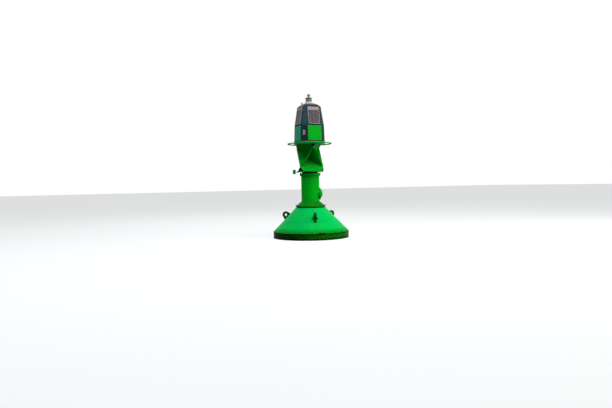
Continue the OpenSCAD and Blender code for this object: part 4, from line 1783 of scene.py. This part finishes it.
@dataclass
class LiftingEyes(SubAssembly):
    """The three lifting eyes with their fillet welds, and the two mooring eyes.

    Attributes:
        plate_t: Thickness of a lifting eye's plate.
        foot: Length of its foot along the cone.
        bead: Radius of the fillets.
    """

    plate_t: float = 0.060
    foot: float = 0.300
    bead: float = 0.006

    def _foot_on_cone(self, hole: Vector) -> tuple[Vector, Vector, Vector]:
        """Finds where an eye stands on the cone.

        Args:
            hole: The middle of the eye's hole.

        Returns:
            The foot's middle, the direction up the cone and the sideways direction.
        """
        turn = turn_of(hole)
        hull = Float(self.book, self.shapes)
        run = hull.cone.radius - hull.cone_top_radius
        up = (UP * hull.cone_h - outward(turn) * run).normalized()
        normal = (outward(turn) * hull.cone_h + UP * run).normalized()
        away = (hole - at_turn(turn, hull.cone.radius, hull.cone.low)).dot(normal)
        return hole - normal * away, up, sideways(turn)

    def build(self) -> None:
        """Dresses the eyes and lays their welds."""
        paths = []
        half, across = self.foot / 2, self.plate_t / 2 + 0.002
        for hole in EYE_HOLES:
            foot, up, side = self._foot_on_cone(Vector(hole))
            for sign in (-1, 1):
                edge = foot + side * sign * across
                paths.append([edge + up * (half * k / 6) for k in range(-6, 7)])
            for end in (-half, half):
                paths.append([foot + up * end + side * (across * k / 2) for k in range(-2, 3)])
        self.beads("eye_welds", paths, self.bead, FOOT_GREEN, "mast_green")
        self.book.dress(EYE_GREEN, *(f"lifting_eye_{k}" for k in (1, 2, 3)))
        self.book.dress(ANTIFOULING, "mooring_eye_1", "mooring_eye_2")


@dataclass
class Tail(SubAssembly):
    """The tail tube under the float with its stack of cast discs.

    Attributes:
        tie_rods: Number of the rods that hold the discs.
    """

    tie_rods: int = 4

    def build(self) -> None:
        """Dresses the tail and sets the nuts of its tie rods."""
        self.book.dress(ANTIFOULING, "tail_tube", "tail_plate")
        self.book.dress(CAST, "counterweight")
        disc = Solid("counterweight")
        reach = (disc.radius + Solid("tail_tube").radius) / 2
        nuts = bolt_circle(self.tie_rods, reach, disc.high)
        self.fasten("tie_rod_nuts", HEAVY_NUT, nuts, STEEL_BOLT, "cast_weight")


@dataclass
class Mast(SubAssembly):
    """The mast with its foot, flanges, hatch and side post.

    Attributes:
        skirt_radius: Radius of the skirt at the foot flange.
        skirt_h: Height of the skirt over the foot flange.
        stud_count: Number of studs on the foot flange.
        top_bolt_count: Number of bolts on the top flange.
        seam_turn: Turn of the tube's upright seam.
        bead: Radius of the mast's beads.
        hatch_turn: Turn of the hatch.
        hatch_bolts: Number of bolts on its cover.
        hatch_face: Distance of the cover's face from the tube.
        hatch_inset: Distance of the bolts from the cover's edge.
        neck_radius: Radius of the hatch's neck.
        neck_bead: Radius of the bead round the neck.
        tube: The tube.
        foot: The foot flange with the skirt.
        flange: The top flange.
    """

    skirt_radius: float = 0.475
    skirt_h: float = 0.140
    stud_count: int = 32
    top_bolt_count: int = 20
    seam_turn: float = 138.0
    bead: float = 0.005
    hatch_turn: float = 65.0
    hatch_bolts: int = 16
    hatch_face: float = 0.024
    hatch_inset: float = 0.015
    neck_radius: float = 0.190
    neck_bead: float = 0.004
    tube: Solid = Solid("mast_tube")
    foot: Solid = Solid("mast_foot")
    flange: Solid = Solid("mast_flange")

    def _foot_studs(self) -> None:
        """Sets the studs' nuts round the foot flange."""
        reach = (self.foot.radius + self.skirt_radius) / 2
        places = bolt_circle(self.stud_count, reach, self.foot.high - self.skirt_h)
        self.fasten("foot_studs", FOOT_NUT, places, GREEN_BOLT, "mast_green")

    def _top_bolts(self) -> None:
        """Sets the bolts of the mast's top flange, heads up and nuts down."""
        reach = (self.flange.radius + self.tube.radius) / 2
        places = bolt_circle(self.top_bolt_count, reach, self.flange.high)
        places += bolt_circle(self.top_bolt_count, reach, self.flange.low, -UP)
        self.fasten("top_flange_bolts", FLANGE_BOLT, places, GREEN_BOLT, "mast_green")

    def _welds(self) -> None:
        """Lays the beads of the skirt and of the tube's seams."""
        round_tube = self.tube.radius + 0.001
        low, high = self.foot.high, self.flange.low
        paths = [
            ring_path(round_tube, low, 120),
            ring_path(self.skirt_radius + 0.001, low - self.skirt_h, 140),
            ring_path(round_tube, high - 0.001, 120),
            [at_turn(self.seam_turn, self.tube.radius, z) for z in (low, (low + high) / 2, high)],
        ]
        self.beads("mast_welds", paths, self.bead, MAST_GREEN, "mast_green")

    def _hatch(self) -> None:
        """Bolts the hatch's cover down and welds its neck."""
        low, high = box_of("hatch_cover")
        middle = UP * ((low.z + high.z) / 2)
        reach = (high.z - low.z) / 2 - self.hatch_inset
        out, side = outward(self.hatch_turn), sideways(self.hatch_turn)
        places = []
        for k in range(self.hatch_bolts):
            angle = math.tau * (k + 0.5) / self.hatch_bolts
            across = side * (math.cos(angle) * reach) + UP * (math.sin(angle) * reach)
            places.append((middle + out * (self.tube.radius + self.hatch_face) + across, out))
        self.fasten("hatch_bolts", HATCH_BOLT, places, GREEN_BOLT, "mast_green")
        ring = []
        for spot in circle_path(middle, side, UP, self.neck_radius, 64):
            across = spot.dot(side)
            ring.append(spot + out * (math.sqrt(self.tube.radius**2 - across**2) + 0.001))
        self.beads("hatch_weld", [ring], self.neck_bead, MAST_GREEN, "mast_green")

    def build(self) -> None:
        """Builds and dresses the mast."""
        self._foot_studs()
        self._top_bolts()
        self._welds()
        self._hatch()
        self.book.dress(FOOT_GREEN, "mast_foot")
        self.book.dress(MAST_GREEN, "mast_tube", "mast_flange", "hatch_neck", "hatch_cover")
        self.book.dress(RING_GREEN, "side_bracket", "side_post")
        # The spigot's dark steel is a painted shadow in the gap.
        self.book.dress(DARK_STEEL, "mast_spigot")


@dataclass
class Reflector(SubAssembly):
    """The radar reflector with the welds between its plates.

    Attributes:
        centre: Height of the point where the plates cross.
        plate_t: Thickness of a plate.
        trim: Radius to which the plates are trimmed.
        turn: Turn of plate A.
        bead: Radius of the fillets.
    """

    centre: float = 2.650
    plate_t: float = 0.010
    trim: float = 0.450
    turn: float = -10.0
    bead: float = 0.0038

    def _normal(self, k: int) -> Vector:
        """Returns the direction square to plate k.

        Args:
            k: Number of the plate, 0 to 2.

        Returns:
            The direction.
        """
        tip = math.acos(1 / math.sqrt(3))
        turned = Matrix.Rotation(math.radians(self.turn + 120 * k), 3, "Z")
        return turned @ Vector((0.0, -math.sin(tip), math.cos(tip)))

    def _inside(self, place: Vector) -> bool:
        """Says whether a place lies where the plates are."""
        low, high = box_of("reflector_plate_a")
        return low.z + 0.002 < place.z < high.z - 0.002 and place.xy.length < self.trim - 0.004

    def _corner_paths(self) -> list[Path]:
        """Returns the paths of the fillets where two plates cross.

        Returns:
            The paths.
        """
        paths = []
        signs = [(way, sa, sb) for way in (-1, 1) for sa in (-1, 1) for sb in (-1, 1)]
        for first, second in ((0, 1), (0, 2), (1, 2)):
            a, b = self._normal(first), self._normal(second)
            line = a.cross(b).normalized()
            for way, sa, sb in signs:
                start = UP * self.centre + (a * sa + b * sb) * (self.plate_t / 2 + 0.0015)
                points = [start + line * way * (0.012 + 0.02 * k) for k in range(36)]
                paths.append([place for place in points if self._inside(place)])
        return [path for path in paths if len(path) > 2]

    def _foot_paths(self) -> list[Path]:
        """Returns the paths of the fillets along the lower flange and the platform.

        Returns:
            The paths.
        """
        paths = []
        low, high = box_of("reflector_plate_a")
        for level, reach in ((low.z + 0.001, Solid("reflector_base").radius), (high.z - 0.001, self.trim)):
            for k in range(3):
                normal = self._normal(k)
                flat = Vector((normal.x, normal.y, 0.0))
                along = UP.cross(flat).normalized()
                for sign in (-1, 1):
                    rest = (level - self.centre) * normal.z - sign * (self.plate_t / 2 + 0.001)
                    start = flat * (-rest / flat.length_squared)
                    points = [start + along * 0.02 * n for n in range(-30, 31)]
                    reach_in = min(reach, self.trim) - 0.006
                    paths.append([place + UP * level for place in points if place.length < reach_in])
        return [path for path in paths if len(path) > 2]

    def build(self) -> None:
        """Welds and dresses the reflector."""
        paths = self._corner_paths() + self._foot_paths()
        self.beads("reflector_welds", paths, self.bead, REFLECTOR_GREEN, "reflector_green")
        self.book.dress(REFLECTOR_GREEN, "reflector_base", *(f"reflector_plate_{k}" for k in "abc"))


@dataclass
class PlatformRing(SubAssembly):
    """The platform with its guard ring.

    Attributes:
        arm_turn: Turn of the first arm.
        arms: Number of arms.
        arm_radius: Radius of an arm's bar.
        bar_radius: Radius of the ring's bar.
        bead: Radius of the beads round the arms' ends.
    """

    arm_turn: float = 20.0
    arms: int = 4
    arm_radius: float = 0.015
    bar_radius: float = 0.019
    bead: float = 0.0035

    def build(self) -> None:
        """Welds and dresses the platform and the ring."""
        low, high = box_of("guard_ring")
        level = (low.z + high.z) / 2
        inner = high.x - 2 * self.bar_radius
        paths = []
        for k in range(self.arms):
            turn = self.arm_turn + 360 / self.arms * k
            for reach in (Solid("platform").radius + 0.001, inner + 0.001):
                middle = at_turn(turn, reach, level)
                paths.append(circle_path(middle, sideways(turn), UP, self.arm_radius, 16))
        self.beads("ring_welds", paths, self.bead, MAST_GREEN, "mast_green")
        self.book.dress(MAST_GREEN, "platform")
        self.book.dress(RING_GREEN, "guard_ring")


@dataclass(frozen=True)
class FacePlane:
    """One face of the housing: a frame with x along it, y up its slope and z straight out.

    Attributes:
        turn: Turn of the face.
        reach: Distance of the face from the axis where the frame starts.
        height: Height at which it starts.
        reach_high: Distance of the face from the axis at its upper end.
        height_high: Height of its upper end.
    """

    turn: float
    reach: float
    height: float
    reach_high: float
    height_high: float

    @property
    def length(self) -> float:
        """Length of the face up its slope."""
        return math.hypot(self.reach - self.reach_high, self.height_high - self.height)

    @property
    def matrix(self) -> Matrix:
        """Matrix from the face's frame to the buoy's."""
        turn = Matrix.Rotation(math.radians(self.turn), 4, "Z")
        lean = math.atan2(self.reach - self.reach_high, self.height_high - self.height)
        place = Matrix.Translation((0, -self.reach, self.height))
        return turn @ place @ Matrix.Rotation(math.pi / 2 - lean, 4, "X")

    def places(self, spots: Sequence[tuple[float, float]], lift: float) -> Places:
        """Returns spots lifted over the face, each with the way out of it."""
        out = self.matrix.to_3x3() @ UP
        return [(self.matrix @ Vector((x, y, lift)), out) for x, y in spots]


@dataclass(frozen=True)
class Section:
    """A level section through the housing, a square with cut corners.

    Attributes:
        height: Its height.
        flats: Distance across its flats.
        cut: Length cut off each corner.
    """

    height: float
    flats: float
    cut: float


@dataclass
class Housing(SubAssembly):
    """The tapered housing with its number plates, solar panels, corner plates and label.

    Attributes:
        corner_t: Thickness of a corner plate.
        panel_t: Thickness of the plates and frames on the wide faces.
        number_w: Width of a number plate.
        number_h: Height of a number plate.
        number_from_edge: Distance of a number plate from the lower edge.
        screw_inset: Distance of a number plate's screws from its edges.
        rivet_inset: Distance of the rivets from a corner plate's edges.
        rivets: Number of rivets up each edge of a corner plate's face.
        solar_w: Width of a solar panel.
        solar_h: Height of a solar panel.
        solar_from_knee: Distance of a solar panel from the knee.
        border: Width of the solar panel's frame.
        band: Height of the band at the panel's top.
        module_t: Height of the module's glass over the face.
        margin: Width of the bare sheet round the cells.
        cell_columns: Columns of cells.
        cell_rows: Rows of cells.
        cell_gap: Gaps between the cells, across and up.
        cell_t: Thickness of a cell.
        bar_w: Width of a busbar.
        bar_t: Thickness of a busbar.
        label_z: Height of the label's middle.
        label_w: Width of the label.
        label_h: Height of the label.
        label_t: Thickness of the label.
    """

    corner_t: float = 0.010
    panel_t: float = 0.020
    number_w: float = 0.478
    number_h: float = 0.480
    number_from_edge: float = 0.018
    screw_inset: float = 0.026
    rivet_inset: float = 0.013
    rivets: int = 8
    solar_w: float = 0.415
    solar_h: float = 0.566
    solar_from_knee: float = 0.026
    border: float = 0.021
    band: float = 0.112
    module_t: float = 0.014
    margin: float = 0.012
    cell_columns: int = 3
    cell_rows: int = 9
    cell_gap: tuple[float, float] = (0.024, 0.0025)
    cell_t: float = 0.0012
    bar_w: float = 0.0022
    bar_t: float = 0.0008
    label_z: float = 3.44
    label_w: float = 0.085
    label_h: float = 0.17
    label_t: float = 0.004

    @staticmethod
    def _ends(upper: bool) -> tuple[Section, Section]:
        """Returns the lower and the upper end of the part under or over the knee.

        Args:
            upper: Whether it is the part over the knee.

        Returns:
            The two sections.
        """
        low, high = box_of("housing_core")
        knee = Section(KNEE, flats=0.806, cut=0.130)
        if upper:
            return knee, Section(high.z, flats=0.620, cut=0.066)
        return Section(low.z, flats=0.850, cut=0.154), knee

    def wide_face(self, side: int, upper: bool) -> FacePlane:
        """Returns wide face 0 to 3, counted from -Y, under or over the knee."""
        low, high = self._ends(upper)
        return FacePlane(90 * side, low.flats / 2, low.height, high.flats / 2, high.height)

    def corner_face(self, side: int, upper: bool) -> FacePlane:
        """Returns the face of a corner plate, 0 between -Y and +X, under or over the knee.

        Args:
            side: Number of the corner.
            upper: Whether it is the part over the knee.

        Returns:
            The face.
        """
        low, high = self._ends(upper)
        reach, reach_high = ((end.flats - end.cut) / math.sqrt(2) + self.corner_t for end in (low, high))
        return FacePlane(45 + 90 * side, reach, low.height, reach_high, high.height)

    def _rivets(self) -> None:
        """Rivets the corner plates down along both edges."""
        places = []
        for side in range(4):
            for upper in (False, True):
                face = self.corner_face(side, upper)
                width, width_high = (end.cut * math.sqrt(2) for end in self._ends(upper))
                spots = []
                for k in range(self.rivets):
                    share = (k + 0.5) / self.rivets
                    half = (width + (width_high - width) * share) / 2 - self.rivet_inset
                    spots += [(sign * half, face.length * share) for sign in (-1, 1)]
                places += face.places(spots, 0.0)
        self.fasten("corner_rivets", RIVET, places, CORNER_TEAL, "corner_teal")

    def _label(self) -> None:
        """Screws a blank label on the corner plate between faces 4 and 1."""
        face = self.corner_face(3, upper=False)
        rise = self.label_z - face.height
        half_w, half_h = self.label_w / 2, self.label_h / 2
        low, high = (-half_w, rise - half_h, 0.0), (half_w, rise + half_h, self.label_t)
        mesh = box_mesh("corner_label", low, high, 0.0012)
        mesh.transform(face.matrix)
        mesh.materials.append(self.book.material(LABEL))
        piece("corner_label", mesh, "lantern_cream")
        spots = [(sx * (half_w - 0.01), rise + sy * (half_h - 0.01)) for sx in (-1, 1) for sy in (-1, 1)]
        places = face.places(spots, self.label_t)
        self.fasten("label_screws", RIVET, places, PANEL_FRAME, "panel_frame")

    def _plate_screws(self) -> None:
        """Screws the number plates and the solar frames down."""
        places = []
        half = self.number_w / 2 - self.screw_inset
        low, high = self.screw_inset, self.number_h - self.screw_inset
        rises = [self.number_from_edge + rise for rise in (low, high, self.number_h / 2)]
        number_spots = [(x, y) for y in rises[:2] for x in (-half, 0.0, half)]
        number_spots += [(x, rises[2]) for x in (-half, half)]
        edge = (self.solar_w - self.border) / 2
        start, span = self.solar_from_knee + self.border / 2, self.solar_h - self.border
        solar_spots = [(sx * edge, start + span * k / 3) for sx in (-1, 1) for k in range(4)]
        for side in range(4):
            places += self.wide_face(side, upper=False).places(number_spots, self.panel_t)
            places += self.wide_face(side, upper=True).places(solar_spots, self.panel_t)
        self.fasten("plate_screws", PLATE_SCREW, places, PANEL_FRAME, "panel_frame")

    def _grid(
        self, name: str, finish: Finish, counts: tuple[int, int], spans: tuple[float, float], tile: Point
    ) -> Mesh:
        """Lays tiles on a level grid.

        Args:
            name: The mesh's name.
            finish: The finish.
            counts: Columns and rows.
            spans: Distance from the first to the last column, and from the first to the last row.
            tile: Size of a tile.

        Returns:
            The mesh.
        """
        values = {"Columns": counts[0], "Rows": counts[1], "Across": spans[0], "Up": spans[1], "Tile": tile}
        start = bpy.data.meshes.new("start")
        return self.shapes.grow(name, start, self.shapes.tiles, self.book.material(finish), values)

    def _module(self, side: int) -> None:
        """Makes one solar module: sheet, cells and busbars.

        Args:
            side: Number of the wide face that it is on.
        """
        width, height = self.solar_w - 2 * self.border, self.solar_h - self.border - self.band
        columns, rows = self.cell_columns, self.cell_rows
        across, up = (width - 2 * self.margin) / columns, (height - 2 * self.margin) / rows
        glass = (width / 2, height / 2, self.module_t - self.cell_t)
        sheet = box_mesh("sheet", (-glass[0], -glass[1], 0.0), glass)
        sheet.materials.append(self.book.material(BACKSHEET))
        cell = (across - self.cell_gap[0], up - self.cell_gap[1], self.cell_t)
        spans = (across * (columns - 1), up * (rows - 1))
        cells = self._grid("cells", CELL, (columns, rows), spans, cell)
        bar = (self.bar_w, height - 2 * self.margin, self.bar_t)
        bars = self._grid("bars", BUSBAR, (columns * 2, 1), (across * (columns - 0.5), 0.0), bar)
        middle = Matrix.Translation((0, self.solar_from_knee + self.border + height / 2, 0))
        face = self.wide_face(side, upper=True).matrix @ middle
        lifts = (0.0, self.module_t - 0.0009, self.module_t - 0.0004)
        whole = bmesh.new()
        for index, (part, lift) in enumerate(zip((sheet, cells, bars), lifts)):
            part.transform(face @ Matrix.Translation((0, 0, lift)))
            first = len(whole.faces)
            whole.from_mesh(part)
            whole.faces.ensure_lookup_table()
            for polygon in whole.faces[first:]:
                polygon.material_index = index
        name = f"solar_cells_{side + 1}"
        mesh = as_mesh(whole, name)
        for finish in (BACKSHEET, CELL, BUSBAR):
            mesh.materials.append(self.book.material(finish))
        piece(name, mesh, "solar_cells", f"solar_module_{side + 1}")

    def build(self) -> None:
        """Builds and dresses the housing."""
        self._plate_screws()
        for side in range(4):
            self._module(side)
        self._rivets()
        self._label()
        sides = (1, 2, 3, 4)
        self.book.dress(CORNER_TEAL, *(f"housing_corner_{k}" for k in sides))
        self.book.dress(NUMBER_GREEN, "number_plate_1", "number_plate_2")
        # Plates 3 and 4 carry the bluer green of painted shade.
        self.book.dress(NUMBER_SHADED_TEAL, "number_plate_3", "number_plate_4")
        self.book.dress(PANEL_FRAME, *(f"solar_frame_{k}" for k in sides))
        self.book.dress(CABINET, "housing_core")
        self.book.dress(PLINTH, "housing_base")


@dataclass
class Roof(SubAssembly):
    """The roof with its small eye."""

    def build(self) -> None:
        """Dresses the roof."""
        # Navy rim in painted shade, pale top as a painted sky reflection.
        self.book.dress(ROOF_NAVY_PAINTED_SKY, "roof")
        self.book.dress(DARK_STEEL, "roof_eye")


@dataclass
class Lantern(SubAssembly):
    """The lantern: base, ribbed lens round its core, cap and finial.

    Attributes:
        ribs: Number of ribs on the lens.
        wall: Thickness of the lens.
        rib_out: How far a rib stands out.
        discs: Number of discs of the core.
        disc_radius: Radius of a disc.
        post_radius: Radius of the post between the discs.
        clearance: Gap between the core and the lens's ends.
        steps: Steps round the lens.
        core_steps: Steps round the core.
        body: The lens of the CAD model.
    """

    ribs: int = 9
    wall: float = 0.010
    rib_out: float = 0.004
    discs: int = 6
    disc_radius: float = 0.056
    post_radius: float = 0.040
    clearance: float = 0.002
    steps: int = 72
    core_steps: int = 40
    body: Solid = Solid("lantern_lens")

    def _lens(self) -> None:
        """Makes the ribbed lens."""
        low, high, reach = self.body.low, self.body.high, self.body.radius
        section = []
        count = self.ribs * 6
        for k in range(count + 1):
            wave = abs(math.sin(math.pi * self.ribs * k / count))
            section.append((reach - self.rib_out * (1 - wave), low + (high - low) * k / count))
        section += [(reach - self.rib_out - self.wall, z) for z in (high, low)]
        mesh = lathe("lantern_lens_ribbed", section, self.steps, loop=True, angle=40.0)
        mesh.materials.append(self.book.material(LENS))
        piece("lantern_lens_ribbed", mesh, "lens", "lantern_lens")

    def _core(self) -> None:
        """Makes the light's core inside the lens, a stack of discs round a post."""
        start = self.body.low + self.clearance
        step = (self.body.high - self.body.low - 2 * self.clearance) / self.discs
        disc, post = self.disc_radius, self.post_radius
        profile = [(0.0, start)]
        for k in range(self.discs):
            low = start + step * k
            profile += [(disc, low), (disc, low + step * 0.55), (post, low + step * 0.62), (post, low + step)]
        profile.append((0.0, profile[-1][1]))
        mesh = lathe("lantern_core", profile, self.core_steps)
        mesh.materials.append(self.book.material(LAMP_CORE))
        piece("lantern_core", mesh, "lantern_grey")

    def build(self) -> None:
        """Builds and dresses the lantern."""
        self._lens()
        self._core()
        self.book.dress(LAMP_CREAM, "lantern_base")
        self.book.dress(LAMP_CAP, "lantern_cap")
        self.book.dress(LAMP_FINIAL, "lantern_finial")


def main() -> None:
    """Builds the stage and each sub-assembly in order."""
    logging.basicConfig(level=logging.INFO, format="%(message)s")
    Stage().build()
    book = FinishBook(Effects())
    shapes = Shapes()
    for part in (Float, LiftingEyes, Tail, Mast, Reflector, PlatformRing, Housing, Roof, Lantern):
        part(book, shapes).build()
        LOG.info("built %s", part.__name__)


if __name__ == "__main__":
    main()
